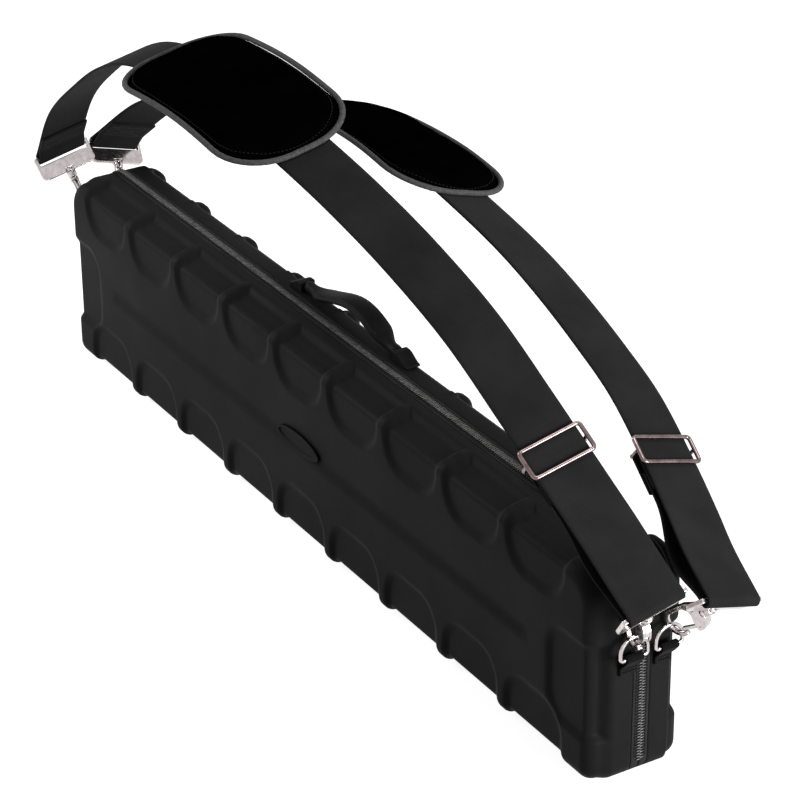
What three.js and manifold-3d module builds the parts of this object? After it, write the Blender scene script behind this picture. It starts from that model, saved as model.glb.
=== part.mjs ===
// Pool cue case: two ribbed moulded halves joined by a zip, with a handle and two shoulder straps.
// Millimetres. X runs along the case, the front face looks to -Y, and +Z is up.
// The case stands on z = 0, and the zip closes in the plane y = 0.

import * as THREE from "three";
import { mergeVertices } from "three/addons/utils/BufferGeometryUtils.js";
import Module from "manifold-3d";

const wasm = await Module();
wasm.setup();

// Case body
const caseLength = 868;
const caseHeight = 186;
const frontDepth = 45;
const backDepth = 40;
const topCornerRadius = 32;
const bottomCornerRadius = 16;
const shellWall = 4;
const rimDraft = 3;
const flatRim = 25;
const faceRound = 12;
const halvesGap = 0.5;

// Pockets moulded into the edges
const pocketCount = 9;
const pocketPitch = 89;
const ribWidth = 14;
const pocketDepthEdge = 5.5;
const pocketDepthFace = 3;
const topPocketReach = 42;
const bottomPocketReach = 50;
const pocketCornerRadius = 26;
const frontPocketStart = 20;
const backPocketStart = 26;
const endPocketReach = 58;
const endPocketLow = 42;
const endPocketHigh = 122;
const endPocketRimDistance = 30;
const endPocketCornerRadius = 22;

// Zip and fabric hinge
const tapeWidth = 7.2;
const tapeThickness = 1.1;
const toothWidth = 3.3;
const toothHeight = 1.7;
const hingeStripEnd = 34;
const sliderLength = 15;
const sliderPlate = 1.4;
const sliderMargin = 1;
const sliderCentre = 318;
const sliderSpacing = 22;
const pullLength = 30;
const pullWidth = 8;
const pullThickness = 1.4;
const bridgeHalf = 4;
const bridgeHeight = 4;
const bridgeWidth = 5;
const windowHalf = 2.2;
const windowHeight = 2.6;

// Inside
const foamSurface = 2;
const frontPadSurface = 2.6;
const buttWidth = 34;
const buttDepth = 28.5;
const shaftWidth = 24;
const shaftDepth = 22;
const channelSpacing = 8;
const channelEndWall = 14;
const bandWidth = 25;
const bandThickness = 1.1;
const bandDistance = 230;
const bandEndGap = 2;

// Oval badge
const badgeLength = 68;
const badgeHeight = 18;
const badgeThickness = 2.2;
const badgeRim = 2.4;
const badgeX = 3;
const badgeZ = 100;

// Carrying handle
const handleCentre = -16;
const handleSpan = 150;
const handleY = 19;
const handleRise = 16;
const handleWidth = 22;
const handleThickness = 9;
const anchorLength = 22;
const anchorHeight = 9;
const anchorWidth = 14;
const anchorStrip = 2.2;
const anchorShoulder = 5;
const handlePin = 2.6;
const handlePinReach = 9;
const handleEyeWall = 2;
const handleSkew = 1.3; // above 1 the arch leans towards the near end
const handleArch = 1.3; // above 1 the arch stays low near the anchors
const gripStart = 0.22;
const gripGrowth = 0.4;

// D-rings on the ends
const ringStandOff = 9.5;
const ringHeight = 121;
const frontRingY = -14.5;
const backRingY = 17;
const bowRadius = 12;
const ringWire = 3.2;
const ringLeg = 6;
const ringCorner = 2.4;
const tabWidth = 15;
const tabThickness = 1.3;
const tabLength = 18;

// Shoulder straps, measured in each strap's own leaning plane; angles in degrees
const webbingWidth = 48;
const webbingThickness = 2.2;
const hookReach = 67.3; // from a D-ring's bow to the strap's end bar
const frontFarAngle = 58;
const frontNearAngle = 52;
const backFarAngle = 43;
const backNearAngle = 41;
const frontStrapRise = 277;
const backStrapRise = 202;
const frontLeanAngle = 12;
const backLeanAngle = -16;
const foldTail = 42;
const foldClosing = 0.4; // share of the tail over which it closes on the strap
const slackGap = 9;
const endTail = 32;
const endReach = 4;
const padLength = 236;
const padWidth = 116;
const padEdge = 3.4;
const padCrown = 5.6;
const padCornerRadius = 46;
const pipingWire = 3;
const padUnderside = 0.97;
const padEvenSteps = 0.55; // share of even steps along the pad, the rest crowd at its ends
const frontPadCentre = -42;
const backPadCentre = -44;
// Each strap between its end bars: place along from ring to ring, share of the rise above the rings
const frontArch = [
  [-0.927, 0.462], [-0.74, 0.675], [-0.568, 0.841], [-0.422, 0.935], [-0.225, 0.989], [-0.054, 1],
  [0.165, 0.952], [0.328, 0.903], [0.492, 0.83], [0.656, 0.721], [0.787, 0.575], [0.864, 0.482],
  [0.94, 0.39], [0.984, 0.337], [1.039, 0.262],
];
const backArch = [
  [-0.965, 0.5], [-0.868, 0.609], [-0.717, 0.742], [-0.546, 0.86], [-0.329, 0.963], [-0.054, 1],
  [0.165, 0.955], [0.359, 0.895], [0.498, 0.828], [0.638, 0.741], [0.753, 0.655], [0.877, 0.514],
  [0.965, 0.4], [1.026, 0.315],
];

// Metal fittings of the straps
const barHalf = 1.9;
const loopArm = 3.4;
const loopPlateEnd = 22;
const loopCorner = 3.5;
const eyeLength = 6;
const eyeHalf = 4.6;
const stemRadius = 2;
const headRadius = 3.6;
const headHeight = 3;
const webbingPlay = 2;
const webbingSidePlay = 0.8;
const hookThickness = 3.6;
const hookCheek = 6.4;
const hookEyeRadius = 8.3;
const hookArm = 3.7;
const hookSlack = 0.8;
const hookNeck = 13;
const hookNeckHalf = 4.2;
const hookShoulder = 8;
const hookWaist = 3;
const hookThroat = 7;
const noseDrop = 3;
const rootRise = 4.6;
const gateWidth = 2.9;
const gateThickness = 2.6;
const gatePin = 1.1;
const gateInset = 3;
const frontSwivelAngle = 12;
const backSwivelAngle = -34;
const glideLength = 26;
const glideWire = 3.4;
const glideFromRing = 62;
const glideCorner = 3;
const glideTravel = 8;
const glidePost = 2.6;

// Clearances
const seat = 0.3;
const runningGap = 0.35;
const over = 1; // how far cutting bodies reach past what they cut, and joined bodies into each other

// Sizes that follow from the ones above
const tapeSeat = tapeThickness + seat;
const pullBar = pullThickness / 2;
const ringX = caseLength / 2 + ringStandOff;
const wrapRadius = barHalf * 1.5 + webbingThickness / 2;
const layerStep = webbingThickness + seat;
const glideBarDrop = webbingThickness * 1.5 + 2 * runningGap + glideWire / 2;
const loopHalf = webbingWidth / 2 + webbingSidePlay + loopArm;
const slotEnd = wrapRadius + webbingThickness / 2 + webbingPlay;
const windowStart = loopPlateEnd - headHeight - 2 * seat;

const black = 0x1b1b1d;
const materials = {
  shell: { color: 0x242426, roughness: 0.55, metalness: 0.0 },
  foam: { color: 0x303033, roughness: 0.95, metalness: 0.0 },
  band: { color: black, roughness: 0.9, metalness: 0.0 },
  tape: { color: 0x2e2e30, roughness: 0.85, metalness: 0.0 },
  teeth: { color: 0xb9b6b2, roughness: 0.3, metalness: 1.0 },
  badge: { color: 0x39393b, roughness: 0.4, metalness: 0.2 },
  handle: { color: 0x212123, roughness: 0.7, metalness: 0.0 },
  webbing: { color: 0x262628, roughness: 0.9, metalness: 0.0 },
  pad: { color: 0x08080a, roughness: 0.95, metalness: 0.0 },
  piping: { color: 0x484848, roughness: 0.8, metalness: 0.0 },
  steel: { color: 0xcfc6c4, roughness: 0.22, metalness: 1.0 },
  glide: { color: 0x9c8886, roughness: 0.3, metalness: 1.0 },
};

// Solids

function toSolid(geometry) {
  const bare = geometry.clone();
  bare.deleteAttribute("normal");
  bare.deleteAttribute("uv");
  const merged = mergeVertices(bare, 1e-4);
  const vertProperties = new Float32Array(merged.attributes.position.array);
  const triVerts = new Uint32Array(merged.index.array);
  return new wasm.Manifold(new wasm.Mesh({ numProp: 3, vertProperties, triVerts }));
}

function toGeometry(solid) {
  const mesh = solid.getMesh();
  const geometry = new THREE.BufferGeometry();
  geometry.setAttribute("position", new THREE.BufferAttribute(new Float32Array(mesh.vertProperties), 3));
  geometry.setIndex(new THREE.BufferAttribute(new Uint32Array(mesh.triVerts), 1));
  return geometry;
}

function join(...geometries) {
  let solid = toSolid(geometries[0]);
  for (const geometry of geometries.slice(1)) {
    solid = solid.add(toSolid(geometry));
  }
  return toGeometry(solid);
}

function cut(geometry, ...tools) {
  let solid = toSolid(geometry);
  for (const tool of tools) {
    solid = solid.subtract(toSolid(tool));
  }
  return toGeometry(solid);
}

function part(name, geometry, materialName) {
  const mesh = new THREE.Mesh(geometry, new THREE.MeshStandardMaterial(materials[materialName]));
  mesh.name = name;
  return mesh;
}

// Prisms

function polygon(points) {
  return new THREE.Shape(points.map(([a, b]) => new THREE.Vector2(a, b)));
}

function prismAlongY(shape, yFrom, yTo, curveSegments = 6) {
  const options = { depth: yTo - yFrom, bevelEnabled: false, curveSegments };
  const geometry = new THREE.ExtrudeGeometry(shape, options);
  geometry.rotateX(Math.PI / 2);
  geometry.translate(0, yTo, 0);
  return geometry;
}

function prismAlongX(shape, xFrom, xTo, curveSegments = 6) {
  const options = { depth: xTo - xFrom, bevelEnabled: false, curveSegments };
  const geometry = new THREE.ExtrudeGeometry(shape, options);
  const turn = new THREE.Matrix4().makeBasis(
    new THREE.Vector3(0, 1, 0),
    new THREE.Vector3(0, 0, 1),
    new THREE.Vector3(1, 0, 0),
  );
  geometry.applyMatrix4(turn);
  geometry.translate(xFrom, 0, 0);
  return geometry;
}

function prismAlongZ(shape, zFrom, zTo, curveSegments = 6) {
  const options = { depth: zTo - zFrom, bevelEnabled: false, curveSegments };
  const geometry = new THREE.ExtrudeGeometry(shape, options);
  geometry.translate(0, 0, zFrom);
  return geometry;
}

function block(xFrom, xTo, yFrom, yTo, zFrom, zTo) {
  const geometry = new THREE.BoxGeometry(xTo - xFrom, yTo - yFrom, zTo - zFrom);
  geometry.translate((xFrom + xTo) / 2, (yFrom + yTo) / 2, (zFrom + zTo) / 2);
  return geometry;
}

function ovalShape(halfWidth, halfHeight, sides) {
  const points = [];
  for (let i = 0; i < sides; i += 1) {
    const angle = (2 * Math.PI * (i + 0.5)) / sides;
    points.push([halfWidth * Math.cos(angle), halfHeight * Math.sin(angle)]);
  }
  return polygon(points);
}

function roundShape(radius, sides) {
  return ovalShape(radius, radius, sides);
}

function rodAlongX(radius, xFrom, xTo, sides = 10) {
  return prismAlongX(roundShape(radius, sides), xFrom, xTo);
}

function rodAlongY(radius, yFrom, yTo, sides = 10) {
  return prismAlongY(roundShape(radius, sides), yFrom, yTo);
}

function rodAlongZ(radius, zFrom, zTo, sides = 12) {
  return prismAlongZ(roundShape(radius, sides), zFrom, zTo);
}

// Turns every triangle over if the faces enclose a negative volume
function facingOut(positions, faces) {
  const corner = (i) => new THREE.Vector3().fromArray(positions, faces[i] * 3);
  let volume = 0;
  for (let i = 0; i < faces.length; i += 3) {
    volume += corner(i).dot(corner(i + 1).cross(corner(i + 2)));
  }
  return volume > 0 ? faces : faces.slice().reverse();
}

// Closed rings with an even number of points, one after another, skinned into one solid with flat ends
function skin(rings, closed = false) {
  const count = rings[0].length;
  const positions = [];
  for (const ring of rings) {
    for (const [x, y, z] of ring) {
      positions.push(x, y, z);
    }
  }
  const faces = [];
  const bands = closed ? rings.length : rings.length - 1;
  for (let i = 0; i < bands; i += 1) {
    const next = (i + 1) % rings.length;
    for (let j = 0; j < count; j += 1) {
      const k = (j + 1) % count;
      faces.push(i * count + j, i * count + k, next * count + k);
      faces.push(i * count + j, next * count + k, next * count + j);
    }
  }
  if (!closed) {
    const last = (rings.length - 1) * count;
    for (let j = 0; j < count / 2 - 1; j += 1) {
      const k = count - 1 - j;
      faces.push(j, k - 1, j + 1, j, k, k - 1);
      faces.push(last + j, last + j + 1, last + k - 1, last + j, last + k - 1, last + k);
    }
  }
  const geometry = new THREE.BufferGeometry();
  geometry.setAttribute("position", new THREE.Float32BufferAttribute(positions, 3));
  geometry.setIndex(facingOut(positions, faces));
  return geometry;
}

// Outline of the case seen from the front, drawn in by inset, running anticlockwise seen from the front
function caseOutline(inset) {
  const steps = 5;
  const halfLength = caseLength / 2 - inset;
  const low = Math.max(bottomCornerRadius - inset, bottomCornerRadius / 4);
  const high = Math.max(topCornerRadius - inset, topCornerRadius / 4);
  const corners = [
    [halfLength - low, inset + low, low, -90],
    [halfLength - high, caseHeight - inset - high, high, 0],
    [-halfLength + high, caseHeight - inset - high, high, 90],
    [-halfLength + low, inset + low, low, 180],
  ];
  const points = [];
  for (const [x, z, radius, start] of corners) {
    for (let i = 0; i <= steps; i += 1) {
      const angle = ((start + (90 * i) / steps) * Math.PI) / 180;
      points.push([x + radius * Math.cos(angle), z + radius * Math.sin(angle)]);
    }
  }
  return points;
}

// side is -1 for the front half and 1 for the back half; levels hold [distance from the zip, inset]
function halfBody(side, levels) {
  return skin(levels.map(([distance, inset]) => caseOutline(inset).map(([x, z]) => [x, side * distance, z])));
}

// Quarter round from a side wall at the given inset to the face at the given depth
function roundLevels(depth, inset) {
  const levels = [];
  const steps = 3;
  for (let i = 0; i <= steps; i += 1) {
    const angle = (Math.PI / 2) * (i / steps);
    levels.push([depth - faceRound * (1 - Math.sin(angle)), inset + faceRound * (1 - Math.cos(angle))]);
  }
  return levels;
}

function outerLevels(depth) {
  return [
    [halvesGap / 2, tapeSeat],
    [tapeWidth + seat, tapeSeat],
    [tapeWidth + seat, 0],
    [flatRim, 0],
    ...roundLevels(depth, rimDraft),
  ];
}

function floorLevels(depth) {
  return [[0, pocketDepthEdge], ...roundLevels(depth - pocketDepthFace, rimDraft + pocketDepthEdge)];
}

function cavityInset() {
  return pocketDepthEdge + shellWall + rimDraft;
}

function cavityLevels(depth, clearance) {
  const bottom = depth - pocketDepthFace - shellWall - clearance;
  const inset = cavityInset() + clearance;
  return [
    [-over, inset],
    [bottom - faceRound / 2, inset],
    [bottom, inset + faceRound / 2],
  ];
}

// Mouth of a pocket: a U that is wide at the case's edge and rounded at its end
function pocketMouth(x, edge, direction, reach) {
  const half = (pocketPitch - ribWidth) / 2;
  const radius = pocketCornerRadius;
  const steps = 4;
  const points = [[x + half, edge + direction * over]];
  for (const [centre, start] of [
    [half - radius, 0],
    [radius - half, 90],
  ]) {
    for (let i = 0; i <= steps; i += 1) {
      const angle = ((start + (90 * i) / steps) * Math.PI) / 180;
      const across = centre + radius * Math.cos(angle);
      points.push([x + across, edge - direction * (reach - radius + radius * Math.sin(angle))]);
    }
  }
  points.push([x - half, edge + direction * over]);
  return polygon(points);
}

function endPocketMouth(side) {
  const edge = caseLength / 2 + over;
  const inner = caseLength / 2 - endPocketReach;
  const radius = endPocketCornerRadius;
  const steps = 4;
  const points = [[side * edge, endPocketLow]];
  for (const [z, start] of [
    [endPocketLow + radius, 270],
    [endPocketHigh - radius, 180],
  ]) {
    for (let i = 0; i <= steps; i += 1) {
      const angle = ((start - (90 * i) / steps) * Math.PI) / 180;
      points.push([side * (inner + radius + radius * Math.cos(angle)), z + radius * Math.sin(angle)]);
    }
  }
  points.push([side * edge, endPocketHigh]);
  return polygon(points);
}

function pocketX(index) {
  return (index - (pocketCount - 1) / 2) * pocketPitch;
}

function shellHalf(side, depth, pocketStart) {
  const far = depth + over;
  const span = (near) => (side < 0 ? [-far, -near] : [near, far]);
  let pockets = toSolid(prismAlongY(endPocketMouth(-1), ...span(endPocketRimDistance)));
  pockets = pockets.add(toSolid(prismAlongY(endPocketMouth(1), ...span(endPocketRimDistance))));
  for (let i = 0; i < pocketCount; i += 1) {
    const top = pocketMouth(pocketX(i), caseHeight, 1, topPocketReach);
    const bottom = pocketMouth(pocketX(i), 0, -1, bottomPocketReach);
    pockets = pockets.add(toSolid(prismAlongY(top, ...span(pocketStart))));
    pockets = pockets.add(toSolid(prismAlongY(bottom, ...span(pocketStart))));
  }
  pockets = pockets.subtract(toSolid(halfBody(side, floorLevels(depth))));
  const outer = toSolid(halfBody(side, outerLevels(depth)));
  const cavity = toSolid(halfBody(side, cavityLevels(depth, 0)));
  return toGeometry(outer.subtract(pockets).subtract(cavity));
}

// Zip tapes and teeth run over the top and down both ends; the hinge tapes run along the bottom
function rimBand(side, near, far, outset, depth) {
  const outer = caseOutline(-outset);
  const inner = caseOutline(depth);
  const [from, to] = side < 0 ? [-far, -near] : [near, far];
  return cut(prismAlongY(polygon(outer), from, to), prismAlongY(polygon(inner), from - over, to + over));
}

function hingeHalf() {
  return caseLength / 2 - hingeStripEnd;
}

function zipTape(side) {
  const band = rimBand(side, halvesGap / 2 + seat, tapeWidth, 0, tapeThickness);
  const wide = tapeWidth + over;
  return cut(band, block(-hingeHalf(), hingeHalf(), -wide, wide, -over, tapeThickness + over));
}

function zipTeeth(side) {
  const band = rimBand(side, halvesGap / 2 + seat, toothWidth, toothHeight, -seat);
  const low = -toothHeight - over;
  return cut(band, block(-caseLength, caseLength, -tapeWidth, tapeWidth, low, bottomCornerRadius));
}

function hingeTape(side) {
  const end = hingeHalf() - seat;
  const [from, to] = side < 0 ? [-tapeWidth, -halvesGap / 2] : [halvesGap / 2, tapeWidth];
  return block(-end, end, from, to, seat, tapeThickness);
}

// Slider: a plate over the teeth, guided along the back half's teeth, with a bridge for the pull
function sliderTop() {
  return caseHeight + toothHeight + seat + sliderPlate;
}

function sliderBody() {
  const top = sliderTop();
  const bottom = top - sliderPlate;
  const half = sliderLength / 2;
  const outer = tapeWidth - sliderMargin;
  const inner = toothWidth + seat;
  const bridge = cut(
    block(-bridgeHalf, bridgeHalf, -bridgeWidth / 2, bridgeWidth / 2, top - pullBar, top + bridgeHeight),
    block(-windowHalf, windowHalf, -bridgeWidth, bridgeWidth, top, top + windowHeight),
  );
  return join(
    block(-half, half, -outer, outer, bottom, top),
    block(-half, half, inner, outer, caseHeight + seat, bottom + sliderPlate / 2),
    bridge,
  );
}

// Pull: a flat tab whose cross bar lies in the bridge, so it turns about its own origin
function pullTab() {
  const half = pullWidth / 2;
  const slotHalf = bridgeWidth / 2 + runningGap;
  const opening = Math.hypot(bridgeHalf, bridgeHeight - windowHeight / 2) + 2 * seat;
  const tip = half / 2;
  const plate = polygon([
    [-pullBar, -half], [pullLength - tip, -half], [pullLength, -tip],
    [pullLength, tip], [pullLength - tip, half], [-pullBar, half],
  ]);
  const slot = polygon([
    [pullBar, -slotHalf], [opening, -slotHalf], [opening, slotHalf], [pullBar, slotHalf],
  ]);
  plate.holes.push(slot);
  return prismAlongZ(plate, -pullBar, pullBar);
}

// Foam cradle in the back half: two wide channels for butts between two narrow ones for shafts
function channelCentres() {
  const widths = [shaftWidth, buttWidth, buttWidth, shaftWidth];
  const total = widths.reduce((sum, width) => sum + width, 0) + channelSpacing * (widths.length - 1);
  let z = caseHeight / 2 - total / 2;
  return widths.map((width) => {
    const centre = z + width / 2;
    z += width + channelSpacing;
    return { centre, width, depth: width === buttWidth ? buttDepth : shaftDepth };
  });
}

function channelShape({ centre, width, depth }) {
  const half = width / 2;
  const points = [[foamSurface - over, centre - half]];
  const steps = 6;
  for (let i = 0; i <= steps; i += 1) {
    const angle = (-90 + (180 * i) / steps) * (Math.PI / 180);
    points.push([foamSurface + depth - half + half * Math.cos(angle), centre + half * Math.sin(angle)]);
  }
  points.push([foamSurface - over, centre + half]);
  return polygon(points);
}

function backFoam() {
  const far = caseLength;
  const filled = toSolid(halfBody(1, cavityLevels(backDepth, seat)));
  let foam = filled.subtract(toSolid(block(-far, far, -far, foamSurface, -far, far)));
  const end = caseLength / 2 - cavityInset() - channelEndWall;
  for (const channel of channelCentres()) {
    foam = foam.subtract(toSolid(prismAlongX(channelShape(channel), -end, end)));
  }
  return toGeometry(foam);
}

function frontFoam() {
  const far = caseLength;
  const filled = halfBody(-1, cavityLevels(frontDepth, seat));
  return cut(filled, block(-far, far, -frontPadSurface, far, -far, far));
}

function elasticBand(side) {
  const x = side * bandDistance;
  const low = cavityInset() + bandEndGap;
  const back = foamSurface - seat;
  return block(x - bandWidth / 2, x + bandWidth / 2, back - bandThickness, back, low, caseHeight - low);
}

// Badge: an oval plate with a raised rim
function badge() {
  const back = -frontDepth - seat;
  const sides = 28;
  const outline = ovalShape(badgeLength / 2, badgeHeight / 2, sides);
  const rimmed = prismAlongY(outline, back - badgeThickness, back);
  const dish = ovalShape(badgeLength / 2 - badgeRim, badgeHeight / 2 - badgeRim, sides);
  const recess = prismAlongY(dish, back - badgeThickness - over, back - badgeThickness / 2);
  const plate = cut(rimmed, recess);
  plate.translate(badgeX, 0, badgeZ);
  return plate;
}

// Handle: anchors on the back half's top with pins along X, and a padded grip that turns on them
function handleEye() {
  return handlePin + runningGap + handleEyeWall;
}

function handlePinHeight() {
  return caseHeight + seat + handleEye();
}

function handleEnd(side) {
  return handleCentre + (side * handleSpan) / 2;
}

function handleAnchor(side) {
  const inner = handleEnd(side);
  const outer = inner + side * anchorLength;
  const half = anchorWidth / 2;
  const bottom = caseHeight + seat;
  const top = bottom + anchorHeight;
  const profile = polygon([
    [inner, bottom], [outer, bottom], [outer, bottom + anchorStrip], [inner + side * anchorShoulder, top],
    [inner, top],
  ]);
  const base = prismAlongY(profile, handleY - half, handleY + half);
  return join(base, handlePinRod(side, handlePin, handlePinReach));
}

// Rod along X that starts a little inside an anchor and reaches into the grip
function handlePinRod(side, radius, reach) {
  const root = side * over;
  const tip = -side * reach;
  const rod = rodAlongX(radius, Math.min(root, tip), Math.max(root, tip));
  rod.translate(handleEnd(side), handleY, handlePinHeight());
  return rod;
}

function handleGrip() {
  const start = handleEnd(-1) + runningGap;
  const end = handleEnd(1) - runningGap;
  const steps = 20;
  const sides = 12;
  const eyeOuter = handleEye();
  const boreRadius = handlePin + runningGap;
  const boreDepth = handlePinReach + 2 * runningGap;
  const rings = [];
  for (let i = 0; i <= steps; i += 1) {
    const t = i / steps;
    const x = start + (end - start) * t;
    const along = Math.min(1, Math.max(0, (x - start - boreDepth) / (end - start - 2 * boreDepth)));
    const rise = handleRise * Math.sin(Math.PI * along ** handleSkew) ** handleArch;
    const full = Math.min(1, Math.max(0, (Math.sin(Math.PI * t) - gripStart) / gripGrowth));
    const half = eyeOuter + (handleWidth / 2 - eyeOuter) * full;
    const thick = eyeOuter + (handleThickness / 2 - eyeOuter) * full;
    const ring = [];
    for (let j = 0; j < sides; j += 1) {
      const angle = (2 * Math.PI * (j + 0.5)) / sides;
      ring.push([x, handleY + half * Math.cos(angle), handlePinHeight() + rise + thick * Math.sin(angle)]);
    }
    rings.push(ring);
  }
  return cut(skin(rings), handlePinRod(-1, boreRadius, boreDepth), handlePinRod(1, boreRadius, boreDepth));
}

// Tube along a closed path that lies in the plane with the given normal
function closedTube(path, radius, normal, sides = 8) {
  const rings = path.map((point, i) => {
    const before = path[(i + path.length - 1) % path.length];
    const after = path[(i + 1) % path.length];
    const along = after.clone().sub(before).normalize();
    const across = new THREE.Vector3().crossVectors(normal, along);
    const ring = [];
    for (let j = 0; j < sides; j += 1) {
      const angle = (2 * Math.PI * (j + 0.5)) / sides;
      const spot = point.clone();
      spot.addScaledVector(across, radius * Math.cos(angle));
      spot.addScaledVector(normal, radius * Math.sin(angle));
      ring.push([spot.x, spot.y, spot.z]);
    }
    return ring;
  });
  return skin(rings, true);
}

// D-ring seen along X: bow above, legs, and a straight bar below; its origin is the bow's centre
function dRing() {
  const path = [];
  const bowSteps = 12;
  for (let i = 0; i <= bowSteps; i += 1) {
    const angle = (Math.PI * i) / bowSteps;
    path.push(new THREE.Vector3(0, bowRadius * Math.cos(angle), bowRadius * Math.sin(angle)));
  }
  for (const side of [-1, 1]) {
    for (let i = 0; i <= 2; i += 1) {
      const angle = (Math.PI / 4) * i;
      const out = ringCorner * (side < 0 ? Math.cos(angle) : Math.sin(angle));
      const down = ringCorner * (side < 0 ? Math.sin(angle) : Math.cos(angle));
      path.push(new THREE.Vector3(0, side * (bowRadius - ringCorner + out), ringCorner - ringLeg - down));
    }
  }
  return closedTube(path, ringWire / 2, new THREE.Vector3(1, 0, 0));
}

// Webbing tab of a D-ring at the +X end: it folds round the ring's bar and lies on the end face
function ringTab() {
  const inner = ringWire / 2 + runningGap;
  const outer = inner + tabThickness;
  const foot = seat - ringStandOff;
  const two = 2 * tabThickness;
  const fold = prismAlongY(roundShape(outer, 14), -tabWidth / 2, tabWidth / 2);
  const slant = outer * Math.SQRT1_2;
  const tail = polygon([
    [-slant, slant], [slant, -slant], [foot + two, -slant - ringStandOff], [foot + two, -tabLength],
    [foot, -tabLength], [foot, -slant],
  ]);
  const bore = prismAlongY(roundShape(inner / Math.cos(Math.PI / 12), 12), -tabWidth, tabWidth);
  return cut(join(fold, prismAlongY(tail, -tabWidth / 2, tabWidth / 2)), bore);
}

// An end bar lies at the hook's reach from its D-ring's bow, at an angle above the case
function endBar(side, angle) {
  const turn = (angle * Math.PI) / 180;
  const x = side * (ringX + hookReach * Math.cos(turn));
  return new THREE.Vector3(x, 0, bowRadius + hookReach * Math.sin(turn));
}

function archCurve({ arch, rise, farAngle, nearAngle }) {
  const knots = arch.map(([along, share]) => new THREE.Vector3(along * ringX, 0, bowRadius + share * rise));
  knots.unshift(endBar(-1, farAngle));
  knots.push(endBar(1, nearAngle));
  const curve = new THREE.CatmullRomCurve3(knots, false, "centripetal");
  curve.arcLengthDivisions = 800;
  return curve;
}

// Point of the arch at a distance along it, moved outwards by offset
function archPoint(curve, distance, offset) {
  const share = Math.min(1, Math.max(0, distance / curve.getLength()));
  const point = curve.getPointAt(share);
  const along = curve.getTangentAt(share);
  return [point.x - along.z * offset, point.z + along.x * offset];
}

function distanceAtX(curve, x) {
  let low = 0;
  let high = 1;
  for (let i = 0; i < 40; i += 1) {
    const middle = (low + high) / 2;
    if (curve.getPointAt(middle).x < x) {
      low = middle;
    } else {
      high = middle;
    }
  }
  return low * curve.getLength();
}

// Flat band with the given centre line in the XZ plane
function bandAlong(line, thickness, width) {
  const left = [];
  const right = [];
  line.forEach(([x, z], i) => {
    const [x0, z0] = line[Math.max(0, i - 1)];
    const [x1, z1] = line[Math.min(line.length - 1, i + 1)];
    const length = Math.hypot(x1 - x0, z1 - z0);
    const dx = ((x1 - x0) / length) * (thickness / 2);
    const dz = ((z1 - z0) / length) * (thickness / 2);
    left.push([x - dz, z + dx]);
    right.push([x + dz, z - dx]);
  });
  return prismAlongY(polygon([...left, ...right.reverse()]), -width / 2, width / 2);
}

// Half turn of the webbing round an end bar; side is -1 at the far bar and 1 at the near bar
function halfTurn(curve, side) {
  const share = side < 0 ? 0 : 1;
  const bar = curve.getPointAt(share);
  const along = curve.getTangentAt(share);
  const turn = [];
  const steps = 8;
  for (let i = 0; i <= steps; i += 1) {
    const angle = (Math.PI * i) / steps;
    const up = wrapRadius * Math.cos(angle);
    const out = side * wrapRadius * Math.sin(angle);
    turn.push([bar.x - along.z * up + along.x * out, bar.z + along.x * up + along.z * out]);
  }
  return turn;
}

function strapWebbing(curve) {
  const length = curve.getLength();
  const line = [];
  const tailSteps = 6;
  for (let i = tailSteps; i >= 1; i -= 1) {
    const distance = (foldTail * i) / tailSteps;
    const closing = Math.min(1, distance / (foldTail * foldClosing));
    const offset = -wrapRadius + (2 * wrapRadius - layerStep) * closing;
    line.push(archPoint(curve, distance, offset));
  }
  line.push(...halfTurn(curve, -1).reverse());
  const steps = 56;
  for (let i = 1; i < steps; i += 1) {
    line.push(archPoint(curve, (length * i) / steps, wrapRadius));
  }
  line.push(...halfTurn(curve, 1));
  const glideAt = distanceAtX(curve, ringX - glideFromRing);
  const returnEnd = glideAt + glideWire + glideTravel + endReach;
  const straightEnd = glideAt + endTail + glideTravel + over;
  const drop = wrapRadius - glideBarDrop;
  const returnSteps = 14;
  for (let i = 1; i <= returnSteps; i += 1) {
    const distance = length + ((returnEnd - length) * i) / returnSteps;
    const share = Math.min(1, Math.max(0, (length - distance) / (length - straightEnd)));
    const sag = slackGap * Math.sin(Math.PI * share) ** 2;
    line.push(archPoint(curve, distance, -wrapRadius + (drop + wrapRadius) * share - sag));
  }
  return bandAlong(line, webbingThickness, webbingWidth);
}

// Half width of the pad at a distance from its middle
function padHalfWidth(distance, length, width) {
  const radius = padCornerRadius;
  const past = Math.max(0, Math.abs(distance) - (length / 2 - radius));
  return width / 2 - radius + Math.sqrt(Math.max(0, radius * radius - past * past));
}

function padSpots(length, steps) {
  const spots = [];
  for (let i = 0; i <= steps; i += 1) {
    const angle = (Math.PI * i) / steps;
    const even = -1 + (2 * i) / steps;
    spots.push((length / 2) * (padEvenSteps * even - (1 - padEvenSteps) * Math.cos(angle)));
  }
  return spots;
}

function shoulderPad(curve, padCentre) {
  const middle = distanceAtX(curve, padCentre);
  const base = wrapRadius + webbingThickness / 2 + seat;
  const across = 8;
  const length = padLength - 2 * pipingWire;
  const rings = padSpots(length, 26).map((spot) => {
    const half = padHalfWidth(spot, length, padWidth - 2 * pipingWire);
    const end = Math.sqrt(Math.max(0, 1 - (2 * spot / length) ** 2));
    const ring = [];
    for (let j = 0; j <= across; j += 1) {
      const share = -1 + (2 * j) / across;
      const crown = padEdge + padCrown * end * Math.sqrt(1 - share ** 2);
      const [x, z] = archPoint(curve, middle + spot, base + crown);
      ring.push([x, half * share, z]);
    }
    for (let j = across; j >= 0; j -= 1) {
      const share = -1 + (2 * j) / across;
      const [x, z] = archPoint(curve, middle + spot, base);
      ring.push([x, half * share * padUnderside, z]);
    }
    return ring;
  });
  return skin(rings);
}

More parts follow.
